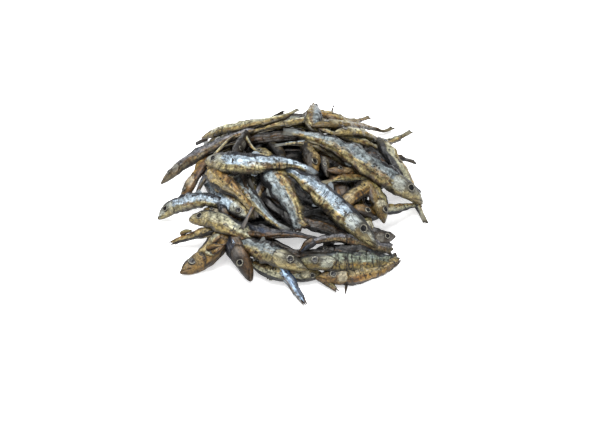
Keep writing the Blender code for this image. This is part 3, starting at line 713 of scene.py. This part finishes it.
def add_body(skins, fish, fineness):
    """The fish's skin, closed at both ends by rings that shrink to its middle."""
    along = fish_stations(fish, fineness)
    around = np.linspace(0.0, 2 * math.pi, fineness.round, endpoint=False)
    grid_along, grid_around = np.meshgrid(along, around, indexing="ij")
    places, _, tangents, local = fish.skin(grid_along, grid_around)
    first, last = places[0], places[-1]
    bulge = 0.10 * fish.height if fish.start == 0.0 else -0.6
    nose = first.mean(0) + (first - first.mean(0)) * 0.5 - tangents[0] * bulge * 0.7
    tip = first.mean(0) + (first - first.mean(0)) * 0.02 - tangents[0] * bulge
    inward = last.mean(0) + (last - last.mean(0)) * 0.5 - tangents[-1] * 0.8
    middle = last.mean(0) + (last - last.mean(0)) * 0.02 - tangents[-1] * 1.2
    places = np.concatenate([tip[None], nose[None], places, inward[None], middle[None]])
    rows = len(places)
    along = np.concatenate([along[:1], along[:1], along, along[-1:], along[-1:]])
    cut = np.zeros(rows)
    if fish.start > 0.0:
        cut[:3] = 1.0
    if fish.end < 1.0:
        cut[-3:] = 1.0
    quads, corners = grid_quads(rows, fineness.round, closed=True)
    left, bottom, wide, high = skins.cell()
    corners = corners * (wide, high) + (left, bottom)
    spread = np.concatenate([local[:1], local[:1], local, local[-1:], local[-1:]]).reshape(-1, 3)
    shade = painted_low_shade(fish, places, along).ravel()
    rise = np.tile(np.cos(around), rows)
    along, cut = (np.repeat(value, fineness.round) for value in (along, cut))
    skins.add(places.reshape(-1, 3), quads, corners, rise, along, cut, spread, fish.look, shade)


def add_fin(skins, fish, start, end, around, tall, lean):
    """A dried fin that stands on the skin: a thin closed sheet, ragged along its edge."""
    count, levels = 12, 4
    along = np.linspace(start, end, count)
    base, normal, tangent, _ = fish.skin(along, np.full(count, around), lift=-0.6)
    share = np.linspace(0.0, 1.0, count)
    ragged = 1 + 0.18 * waves(share[:, None] * 12.0, 3.0, fish.seed, 4)
    outline = tall * np.sin(math.pi * share**0.6) ** 0.7 * ragged
    side = np.cross(normal, tangent)
    rows = []
    for level in range(levels):
        climb = level / (levels - 1)
        rise = normal * (outline * climb)[:, None] + tangent * (outline * climb * lean)[:, None]
        rows.append((base + rise, 0.28 * (1 - 0.7 * climb)))
    sheet = [place + side * half for place, half in rows]
    sheet += [place - side * half for place, half in reversed(rows)]
    quads, corners = grid_quads(len(sheet), count, closed=False)
    left, bottom, wide, high = skins.cell()
    corners = corners[..., ::-1] * (wide, high) + (left, bottom)
    flat = np.stack(sheet).reshape(-1, 3)
    climbs = np.concatenate([np.linspace(0, 1, levels), np.linspace(1, 0, levels)])
    lengthwise = np.tile(along * fish.scale(), len(sheet))
    spread = np.stack([lengthwise, np.repeat(climbs * tall, count), np.full(len(flat), fish.seed)], 1)
    skins.add(flat, quads, corners, FIN_RISE, FIN_ALONG, 0.0, spread, fish.look)


def add_eyes(eyes, fish):
    """Both eyes: shallow domes, sunk in their sockets."""
    if fish.start > 0:
        return
    rings, sides = 7, 20
    radius = EYE_SHARE * fish.height
    level = math.acos(EYE_RISE * fish.height * EYE_ACROSS / (fish.height / 2 * HEAD_TALL))
    for around in (level, 2 * math.pi - level):
        found = fish.skin(np.array([EYE_ALONG]), np.array([around]), lift=EYE_LIFT)
        centre, normal, tangent = (value[0] for value in found[:3])
        across = np.cross(normal, tangent)
        shares = np.linspace(0.02, 1.0, rings)
        turns = np.linspace(0.0, 2 * math.pi, sides, endpoint=False)
        share, turn = np.meshgrid(shares, turns, indexing="ij")
        height = 0.34 * (1 - share**2) - 0.30 * bell(share, 0.30) - 0.5 * step(share, 0.86, 1.0)
        ahead, aside = share * np.cos(turn), share * np.sin(turn)
        flat = tangent * (ahead * radius)[..., None] + across * (aside * radius)[..., None]
        places = centre + flat + normal * height[..., None]
        quads, _ = grid_quads(rings, sides, closed=True)
        left, bottom, wide, high = eyes.cell()
        disc = 0.5 + 0.48 * np.stack([ahead, aside], -1).reshape(-1, 2)
        corners = disc[quads] * (wide, high) + (left, bottom)
        spread = np.stack([flat @ tangent, flat @ across, np.full(share.shape, fish.seed * 1.7)], -1)
        spread = spread.reshape(-1, 3)
        eyes.add(places.reshape(-1, 3), quads, corners, share.ravel(), 0.0, 0.0, spread, fish.look)


# Colours as seen in even light, besides two painted ones below: a shade and a highlight
RUST = (0.33, 0.24, 0.125)
RUST_DARK = (0.17, 0.12, 0.06)
COOL = (0.42, 0.48, 0.56)
GILT = (0.54, 0.41, 0.18)
TAIL = (0.35, 0.33, 0.30)
RAW = (0.23, 0.16, 0.09)
INK = (0.08, 0.08, 0.10)
# Painted shade round the eye, on its rim, in the mouth's slit and behind the gill cover; also the dark of
# cracks and fin tips
SHADE_AND_DARK_MARKS = (0.09, 0.065, 0.045)
# A painted highlight colour, used on the gill cover
GLINT = (0.76, 0.77, 0.75)
PUPIL = (0.03, 0.03, 0.04)
IRIS = (0.46, 0.45, 0.40)

# The last step of the skin's colour: a power that deepens the darks and a gain that keeps the lights
CONTRAST, CONTRAST_GAIN = 1.42, 1.74


class Nodes:
    """Short ways to add the nodes of one material."""

    def __init__(self, name):
        self.material = bpy.data.materials.new(name)
        self.material.use_nodes = True
        self.tree = self.material.node_tree
        self.shader = self.tree.nodes["Principled BSDF"]

    def join(self, source, socket):
        if hasattr(source, "is_output"):
            self.tree.links.new(source, socket)
        else:
            socket.default_value = source

    def put(self, name, source):
        """Sets an input of the shader to a value or to a node's output."""
        self.join(source, self.shader.inputs[name])

    def math(self, operation, first, second=0.0):
        node = self.tree.nodes.new("ShaderNodeMath")
        node.operation = operation
        self.join(first, node.inputs[0])
        self.join(second, node.inputs[1])
        return node.outputs[0]

    def times(self, first, *others):
        for other in others:
            first = self.math("MULTIPLY", first, other)
        return first

    def plus(self, first, *others):
        for other in others:
            first = self.math("ADD", first, other)
        return first

    def less(self, first, second):
        return self.math("SUBTRACT", first, second)

    def size(self, value):
        return self.math("ABSOLUTE", value)

    def attribute(self, name, output):
        node = self.tree.nodes.new("ShaderNodeAttribute")
        node.attribute_name = name
        return node.outputs[output]

    def value(self, name):
        return self.attribute(name, "Fac")

    def colour(self, name):
        return self.attribute(name, "Color")

    def stretched(self, scale):
        """The fish's own coordinates, scaled along, across the thickness and across the height."""
        node = self.tree.nodes.new("ShaderNodeVectorMath")
        node.operation = "MULTIPLY"
        self.join(self.attribute("spread", "Vector"), node.inputs[0])
        node.inputs[1].default_value = scale
        return node.outputs[0]

    def noise(self, scale, detail=2.0, roughness=0.5):
        node = self.tree.nodes.new("ShaderNodeTexNoise")
        node.inputs["Scale"].default_value = 1.0
        node.inputs["Detail"].default_value = detail
        node.inputs["Roughness"].default_value = roughness
        self.tree.links.new(self.stretched(scale), node.inputs["Vector"])
        return node.outputs["Fac"]

    def cells(self, scale):
        node = self.tree.nodes.new("ShaderNodeTexVoronoi")
        node.inputs["Scale"].default_value = 1.0
        self.tree.links.new(self.stretched(scale), node.inputs["Vector"])
        return node.outputs["Distance"]

    def smooth(self, value, start, end, low=0.0, high=1.0):
        """low before start, high after end and smooth between."""
        node = self.tree.nodes.new("ShaderNodeMapRange")
        node.interpolation_type = "SMOOTHSTEP"
        self.join(value, node.inputs["Value"])
        node.inputs["From Min"].default_value = start
        node.inputs["From Max"].default_value = end
        node.inputs["To Min"].default_value = low
        node.inputs["To Max"].default_value = high
        return node.outputs["Result"]

    def mix(self, share, first, second):
        """The first colour where share is 0 and the second where it is 1."""
        node = self.tree.nodes.new("ShaderNodeMix")
        node.data_type = "RGBA"
        self.join(share, node.inputs[0])
        self.join(first, node.inputs[6])
        self.join(second, node.inputs[7])
        return node.outputs[2]

    def shaded(self, colour, value):
        """A colour made lighter or darker by a value."""
        node = self.tree.nodes.new("ShaderNodeVectorMath")
        node.operation = "SCALE"
        self.tree.links.new(colour, node.inputs[0])
        self.join(value, node.inputs["Scale"])
        return node.outputs[0]

    def contrast(self, colour, power, gain):
        """Darks made darker and colours stronger, while the lights stay as they are."""
        node = self.tree.nodes.new("ShaderNodeGamma")
        self.tree.links.new(colour, node.inputs["Color"])
        node.inputs["Gamma"].default_value = power
        return self.shaded(node.outputs["Color"], gain)

    def line(self, value, middle, width):
        """1 where a value passes a given one, falling to 0 at width."""
        return self.smooth(self.size(self.less(value, middle)), 0.0, width, 1.0, 0.0)

    def bump(self, height, distance):
        node = self.tree.nodes.new("ShaderNodeBump")
        node.inputs["Strength"].default_value = 1.0
        node.inputs["Distance"].default_value = distance
        self.tree.links.new(height, node.inputs["Height"])
        self.put("Normal", node.outputs["Normal"])


def skin_material(name, look):
    """Dried sprat skin: dark back, silvery flank with a painted highlight, pale belly, head with a painted
    highlight on the gill cover and painted shade by the eye, mouth and gill edge, cracks, stains and tail.
    """
    n = Nodes(name)
    rise, along, cut = n.value("rise"), n.value("along"), n.value("cut")
    uneven = n.noise((0.11, 0.26, 0.26), 4.0, 0.6)
    mottle = n.noise((0.42, 0.52, 0.52), 3.0, 0.6)
    patches = n.noise((0.13, 0.20, 0.20), 3.0, 0.6)
    streak = n.noise((0.05, 0.75, 0.75), 3.0)
    veins = n.line(n.noise((0.30, 0.34, 0.34), 3.0), 0.5, 0.030)
    band = n.plus(rise, n.smooth(uneven, 0.25, 0.75, -0.24, 0.24))
    colour = n.mix(n.smooth(band, 0.06, -0.46), n.colour("flank_colour"), n.colour("belly_colour"))
    # Painted highlight: the flank lighter along its upper middle and darker toward back and belly
    painted_sheen = n.smooth(n.size(n.plus(rise, -0.18)), 0.0, 0.75, 1.20, 0.86)
    colour = n.shaded(colour, painted_sheen)
    colour = n.mix(n.smooth(band, 0.62, 0.80), colour, n.colour("back_colour"))
    cool = n.times(n.smooth(patches, 0.44, 0.34), n.line(rise, 0.25, 0.60))
    colour = n.mix(n.times(cool, 0.50), colour, n.mix(0.5, n.colour("flank_colour"), linear(COOL)))
    gilt = n.times(n.smooth(patches, 0.54, 0.64), n.line(rise, -0.30, 0.75))
    colour = n.mix(n.times(gilt, 0.75), colour, n.mix(0.5, n.colour("belly_colour"), linear(GILT)))
    low = n.smooth(rise, 0.35, -0.45, 0.12, 1.0)
    rust = n.times(n.smooth(n.noise((0.15, 0.20, 0.20), 4.0, 0.65), 0.50, 0.60), low)
    colour = n.mix(n.times(rust, 0.80 - 0.45 * look.cracked), colour, linear(RUST))
    stains = n.times(n.smooth(n.noise((0.19, 0.26, 0.26), 5.0, 0.7), 0.56, 0.64), 0.65)
    colour = n.mix(stains, colour, linear(RUST_DARK))

    body = n.times(n.smooth(along, 0.20, 0.24), n.smooth(along, 0.90, 0.86))
    # The belly's edge darker: partly its own dark colour, partly painted shade under the fish
    colour = n.shaded(colour, n.smooth(rise, -0.98, -0.60, 0.32, 1.0))
    colour = n.shaded(colour, n.smooth(streak, 0.30, 0.70, 0.76, 1.18))
    colour = n.shaded(colour, n.smooth(mottle, 0.32, 0.68, 0.58, 1.28))
    colour = n.shaded(colour, n.smooth(uneven, 0.28, 0.62, 0.66, 1.14))
    dots = n.smooth(n.cells((0.34, 0.38, 0.38)), 0.36, 0.18)
    specks = n.times(dots, n.smooth(n.noise((0.13, 0.2, 0.2)), 0.42, 0.56), n.smooth(rise, -0.75, -0.35))
    colour = n.mix(n.times(specks, 0.85), colour, linear(INK))
    cracks = n.line(n.noise((0.17, 0.030, 0.030), 2.0), 0.5, 0.013 + 0.012 * look.cracked)
    gate = 0.43 - 0.25 * look.cracked
    cracks = n.times(cracks, n.smooth(n.noise((0.09, 0.09, 0.09)), gate, gate + 0.11), body)
    colour = n.mix(n.times(cracks, 0.90), colour, linear(SHADE_AND_DARK_MARKS))

    curve = n.math("POWER", n.size(n.less(rise, GILL_MIDDLE)), 2.0)
    past_gill = n.plus(n.less(along, GILL_EDGE), n.times(curve, GILL_CURVE))
    past_gill = n.plus(past_gill, n.smooth(mottle, 0.3, 0.7, -0.010, 0.010))
    head = n.smooth(past_gill, 0.004, -0.008)
    face = n.mix(0.45, colour, n.shaded(n.colour("belly_colour"), n.smooth(mottle, 0.3, 0.7, 0.75, 1.35)))
    face = n.mix(n.smooth(band, 0.36, 0.78, 0.0, 0.8), face, n.colour("back_colour"))
    # A painted highlight on the gill cover, mixed from the flank colour and GLINT
    gill_highlight = n.times(n.smooth(past_gill, -0.003, -0.010), n.smooth(along, 0.125, 0.150))
    gill_highlight = n.times(gill_highlight, n.smooth(n.size(n.plus(rise, 0.12)), 0.70, 0.40))
    gill_highlight = n.times(gill_highlight, n.smooth(n.noise((0.010, 0.010, 0.010), 0.0), 0.42, 0.58, 0.15, 0.75))
    gleam = n.mix(0.35, n.colour("flank_colour"), linear(GLINT))
    face = n.mix(gill_highlight, face, n.shaded(gleam, n.smooth(mottle, 0.3, 0.7, 0.6, 1.2)))
    face = n.mix(n.times(veins, 0.75), face, linear(RUST_DARK))
    snout = n.smooth(along, 0.045, 0.0)
    face = n.mix(n.times(snout, 0.45), face, linear(RUST_DARK))
    # Painted shade round the eye, in its socket
    near_eye = n.times(n.line(along, EYE_ALONG, 0.066), n.line(rise, EYE_RISE, 0.85))
    face = n.mix(n.times(near_eye, 0.85), face, linear(SHADE_AND_DARK_MARKS))
    # Patches that break up the cheek and gill lines
    patchy = n.smooth(patches, 0.40, 0.60, 0.25, 1.0)
    cheek = n.line(n.plus(past_gill, n.times(streak, 0.02)), CHEEK_EDGE - GILL_EDGE, 0.008)
    cheek = n.times(cheek, n.times(patchy, 0.55))
    face = n.mix(cheek, face, linear(RUST_DARK))
    # Painted shade in the mouth's slit
    slit = n.line(n.plus(rise, n.times(along, MOUTH_SLOPE)), -MOUTH_RISE, 0.13)
    slit = n.times(slit, n.smooth(along, MOUTH_END, MOUTH_END - 0.01))
    face = n.mix(n.times(slit, 0.55), face, linear(SHADE_AND_DARK_MARKS))
    colour = n.mix(head, colour, face)
    # Painted shade in the crease behind the gill cover
    gill_line = n.times(n.line(past_gill, 0.006, 0.012), n.smooth(n.size(rise), 0.95, 0.75))
    colour = n.mix(n.times(gill_line, patchy, 0.90), colour, linear(SHADE_AND_DARK_MARKS))

    fin = n.smooth(along, 0.87, 0.93)
    rays = n.smooth(n.math("SINE", n.times(rise, 30.0)), -1.0, 1.0, 0.62, 1.1)
    fin_colour = n.shaded(n.mix(0.5, n.colour("flank_colour"), linear(TAIL)), rays)
    fin_colour = n.mix(n.smooth(along, 0.955, 1.0, 0.0, 0.7), fin_colour, linear(SHADE_AND_DARK_MARKS))
    colour = n.mix(n.times(fin, 0.85), colour, fin_colour)
    colour = n.mix(n.smooth(cut, 0.1, 0.9), colour, linear(RAW))
    # The painted shade, darker low on each fish and deep in the mound, darkens the colour before the contrast
    # step
    colour = n.contrast(n.shaded(colour, n.value("shade")), CONTRAST, CONTRAST_GAIN)
    n.put("Base Color", colour)

    dull = n.plus(n.times(head, 0.07), n.times(fin, 0.12))
    dull = n.plus(dull, n.smooth(mottle, 0.3, 0.7, -0.08, 0.12))
    n.put("Roughness", n.plus(dull, look.roughness))
    n.put("Metallic", look.metallic)
    n.put("Specular IOR Level", 0.35)
    n.put("Coat Weight", 0.10)
    n.put("Coat Roughness", 0.22)

    scales = n.times(n.cells((0.60, 0.70, 0.70)), n.times(body, 0.30))
    grooves = n.plus(cracks, gill_line, slit, cheek)
    height = n.plus(n.times(streak, 0.8), n.times(mottle, 0.7), n.times(uneven, 2.2), scales)
    n.bump(n.plus(height, n.times(grooves, -0.7)), 0.0007)
    return n.material


def eye_material():
    """A sunken dried eye: black pupil, silver ring and a rim darkened with painted shade."""
    n = Nodes("sprat_eye")
    share = n.value("rise")
    patches = n.noise((0.9, 0.9, 0.9), 3.0)
    edge = n.plus(share, n.smooth(patches, 0.3, 0.7, -0.07, 0.07))
    colour = n.mix(n.smooth(edge, 0.58, 0.66), linear(PUPIL), linear(IRIS))
    colour = n.shaded(colour, n.smooth(n.noise((1.1, 1.1, 1.1), 3.0), 0.35, 0.65, 0.25, 1.25))
    # Painted shade on the eye's rim, where it sinks into the socket
    colour = n.mix(n.smooth(edge, 0.78, 0.88), colour, linear(SHADE_AND_DARK_MARKS))
    n.put("Base Color", colour)
    n.put("Roughness", n.smooth(edge, 0.46, 0.66, 0.12, 0.36))
    n.put("Specular IOR Level", 0.25)
    n.put("Coat Weight", 0.06)
    n.put("Coat Roughness", 0.12)
    n.bump(patches, 0.0003)
    return n.material


def core_material():
    """The inside of the heap: packed scraps and skin, coloured near-black as painted shade."""
    n = Nodes("sprat_core")
    patches = n.noise((0.10, 0.25, 0.25), 5.0, 0.65)
    colour = n.mix(n.smooth(patches, 0.35, 0.70), linear((0.02, 0.018, 0.016)), linear((0.08, 0.06, 0.04)))
    n.put("Base Color", colour)
    n.put("Roughness", n.smooth(patches, 0.3, 0.7, 0.45, 0.75))
    n.put("Specular IOR Level", 0.15)
    n.bump(patches, 0.0012)
    return n.material


def fin_set(skins, fish):
    """Back, belly and tail-side fins, short and ragged as they dry; some are lost."""
    chance = random.Random(fish.seed)
    size = fish.height / USUAL_HEIGHT
    wanted = (
        (0.44, 0.53, 0.0, chance.uniform(1.6, 3.0)),
        (0.46, 0.52, math.pi, chance.uniform(1.0, 2.0)),
        (0.64, 0.78, math.pi, chance.uniform(0.6, 1.3)),
    )
    for start, end, around, tall in wanted:
        if chance.random() < FIN_CHANCE and fish.start < start and end < fish.end:
            add_fin(skins, fish, start, end, around, tall * size, chance.uniform(0.4, 1.1))


def seen_fish():
    for number, sprat in enumerate(SPRATS):
        points = [on_mound(*place) for place in sprat.path]
        buried = sprat.path[-1][2] < BURIED
        yield sprat.look, Fish(
            points, sprat.height, sprat.back, sprat.roll, number + 1, LOOKS[sprat.look],
            sprat.torn, buried, sprat.head,
        )


def sliver_fish():
    """The slivers, as bodies without head and tail."""
    for number, sliver in enumerate(SLIVERS):
        points = [on_mound(*place) for place in sliver.path]
        look = LOOKS[sliver.look]
        yield sliver.look, Fish(points, sliver.height, LEFT, 0.0, SLIVER_SEEDS + number, look, "both")


def far_path(chance, angle):
    """Of several paths across the far slope, the one that the nearer fish hide best from the viewpoint."""
    found = []
    for _ in range(FAR_TRIES):
        radius = chance.uniform(*FAR_RADIUS)
        length = chance.uniform(*FAR_LENGTH)
        slant = angle + math.pi / 2 + chance.choice((0.0, math.pi)) + chance.uniform(-FAR_SPREAD, FAR_SPREAD)
        points = slope_points(radius, angle, length, slant, FAR_LIFT, FAR_LIMIT)
        found.append((seen_outside(points, FAR_VIEW_HALF), points))
    return min(found, key=lambda path: max(path[0], HIDDEN_ENOUGH))[1]


def far_fish():
    """Fish round the far side, each laid across the slope at its own slant."""
    chance = random.Random(FAR_SEED)
    names = list(LOOKS)
    for index in range(FAR_COUNT):
        points = far_path(chance, FAR_ARC[0] + (FAR_ARC[1] - FAR_ARC[0]) * (index + 0.5) / FAR_COUNT)
        height, back = chance.uniform(*FAR_HEIGHT), chance.choice((LEFT, RIGHT))
        roll = chance.uniform(*FAR_ROLL)
        name = names[index * 4 % len(names)]
        yield name, Fish(points, height, back, roll, FAR_SEEDS + index, LOOKS[name])


def slope_points(radius, angle, length, slant, lift, limit):
    """A straight path laid on the mound, drawn in where it would pass the limit."""
    points = []
    for share in np.linspace(-0.5, 0.5, FAR_STEPS):
        across = radius * math.cos(angle) + share * length * math.cos(slant)
        away = radius * math.sin(angle) + share * length * math.sin(slant)
        inward = min(1.0, limit / math.hypot(across, away))
        x = MOUND_MIDDLE[0] + across * inward
        y = MOUND_MIDDLE[1] + away * inward
        points.append((x, y, max(mound_skin(x, y) + lift, LOWEST_CENTRE)))
    return points


def seen_outside(points, half):
    """How far a path reaches toward the edge of the view's oval, from 0 to 1, and more than 1 in a gap."""
    pixels = pixel_of(smooth_path(points, PATH_STEPS)[0])
    offset = (pixels - VIEW_OVAL_MIDDLE) / half
    reach = np.hypot(offset[:, 0], offset[:, 1]).max()
    for across, down, radius in GAPS:
        if np.hypot(pixels[:, 0] - across, pixels[:, 1] - down).min() < radius:
            reach += 1.0
    return reach


def buried_fish():
    """Fish beneath the ones that are seen, leaving the gaps open."""
    chance = random.Random(BURIED_SEED)
    made = 0
    for _ in range(BURIED_TRIES):
        radius = BURIED_REACH * math.sqrt(chance.random())
        angle = chance.uniform(0.0, 2 * math.pi)
        length = chance.uniform(*BURIED_LENGTH)
        slant = angle + math.pi / 2 + chance.gauss(0.0, BURIED_SPREAD)
        lift = chance.uniform(*BURIED_LIFT)
        points = slope_points(radius, angle, length, slant, lift, BURIED_REACH)
        height, back = chance.uniform(*BURIED_HEIGHT), chance.choice((LEFT, RIGHT))
        roll = chance.uniform(*BURIED_ROLL)
        if seen_outside(points, BURIED_VIEW_HALF) < 1.0:
            name = BURIED_LOOKS[made % len(BURIED_LOOKS)]
            yield Fish(points, height, back, roll, BURIED_SEEDS + made, dimmed(LOOKS[name], BURIED_SHADE))
            made += 1
        if made == BURIED_COUNT:
            return


def hollow_fish():
    """Fish in the hollow that the far fish leave open."""
    for number, (radius, angle, slant, name) in enumerate(HOLLOW):
        points = slope_points(radius, angle, HOLLOW_LENGTH, slant, HOLLOW_LIFT, BURIED_REACH)
        back = LEFT if number % 2 else RIGHT
        look = dimmed(LOOKS[name], HOLLOW_SHADE)
        yield Fish(points, HOLLOW_HEIGHT, back, HOLLOW_ROLL, HOLLOW_SEEDS + number, look)


def add_core():
    """A low mound, painted dark as shade, with an uneven skin, flat underneath."""
    skins = Skins(1)
    tier = np.linspace(0.0, 1.0, CORE_RINGS)
    turns = np.linspace(0.0, 2 * math.pi, CORE_SIDES, endpoint=False)
    tier, turn = np.meshgrid(tier, turns, indexing="ij")
    climb = math.pi / 2 * (tier - CORE_FOOT) / (1.0 - CORE_FOOT)
    spread = np.where(tier < CORE_FOOT, tier / CORE_FOOT, np.cos(climb))
    rise = np.where(tier < CORE_FOOT, 0.0, np.sin(climb))
    places = np.stack([
        CORE_MIDDLE[0] + CORE_HALF_WIDTH * spread * np.cos(turn),
        CORE_MIDDLE[1] + CORE_HALF_DEPTH * spread * np.sin(turn),
        FLOOR_GAP + CORE_HEIGHT * rise,
    ], -1)
    lumps = 2.2 * waves(places, 26.0, 3) + 1.2 * waves(places, 11.0, 4)
    places[..., 2] += lumps * np.minimum(rise * 2.0, 1.0)
    quads, corners = grid_quads(CORE_RINGS, CORE_SIDES, closed=True)
    angle, ring = math.pi * 2 * corners[..., 1], 1 - corners[..., 0] * 0.98
    corners = 0.5 + 0.49 * np.stack([np.cos(angle) * ring, np.sin(angle) * ring], -1)
    places = places.reshape(-1, 3)
    skins.add(places, quads, corners, 0.0, 0.0, 0.0, places, LOOKS["umber"])
    skins.finished("core", core_material())


def add_fish_pieces():
    eyes = Skins(EYE_CELLS)
    kinds = {}
    for name, fish in [*seen_fish(), *far_fish(), *sliver_fish()]:
        kinds.setdefault(name, []).append(fish)
    for name, group in kinds.items():
        skins = Skins(4 * len(group))
        for fish in group:
            add_body(skins, fish, FINE)
            if fish.torn != "both":
                fin_set(skins, fish)
                add_eyes(eyes, fish)
        skins.finished(f"sprats_{name}", skin_material(f"sprat_skin_{name}", LOOKS[name]))
    under = Skins(BURIED_COUNT + len(HOLLOW))
    for fish in [*buried_fish(), *hollow_fish()]:
        add_body(under, fish, PLAIN)
    under.finished("sprats_beneath", skin_material("sprat_skin_beneath", LOOKS["umber"]))
    eyes.finished("eyes", eye_material())


def add_floor():
    corners = [(x * FLOOR_HALF, y * FLOOR_HALF, 0.0) for x, y in ((-1, -1), (1, -1), (1, 1), (-1, 1))]
    mesh = bpy.data.meshes.new("floor")
    mesh.from_pydata(corners, [], [(0, 1, 2, 3)])
    n = Nodes("floor_white")
    n.put("Base Color", FLOOR_COLOUR)
    n.put("Roughness", 0.9)
    n.put("Specular IOR Level", 0.1)
    n.put("Emission Color", WHITE)
    n.put("Emission Strength", FLOOR_GLOW)
    mesh.materials.append(n.material)
    floor = bpy.data.objects.new("floor", mesh)
    bpy.context.scene.collection.objects.link(floor)


def add_softbox(name, place, size, power):
    lamp = bpy.data.lights.new(name, "AREA")
    lamp.shape = "RECTANGLE"
    lamp.size, lamp.size_y = size
    lamp.energy = power
    item = bpy.data.objects.new(name, lamp)
    away = np.array(place) - np.array(LIGHT_TARGET)
    distance = np.linalg.norm(away)
    item.location = place
    item.rotation_euler = (math.acos(away[2] / distance), 0.0, math.atan2(away[0], -away[1]))
    bpy.context.scene.collection.objects.link(item)


def add_light():
    world = bpy.data.worlds.new("studio")
    world.use_nodes = True
    background = world.node_tree.nodes["Background"]
    background.inputs["Color"].default_value = WHITE
    background.inputs["Strength"].default_value = WORLD_STRENGTH
    bpy.context.scene.world = world
    for softbox in SOFTBOXES:
        add_softbox(*softbox)


def add_camera():
    camera = bpy.data.cameras.new("camera")
    camera.sensor_width = SENSOR
    camera.lens = VIEW_DISTANCE / PIXEL * SENSOR / FRAME_WIDTH
    camera.clip_start, camera.clip_end = 0.05, 20.0
    item = bpy.data.objects.new("camera", camera)
    item.location = EYE_POINT * MM
    item.rotation_euler = (math.pi / 2 - VIEW_ELEVATION, 0.0, 0.0)
    bpy.context.scene.collection.objects.link(item)
    bpy.context.scene.camera = item


def write_sizes():
    bpy.context.view_layer.update()


add_camera()
add_floor()
add_light()
add_core()
add_fish_pieces()
bpy.context.scene.view_settings.view_transform = "Standard"
write_sizes()
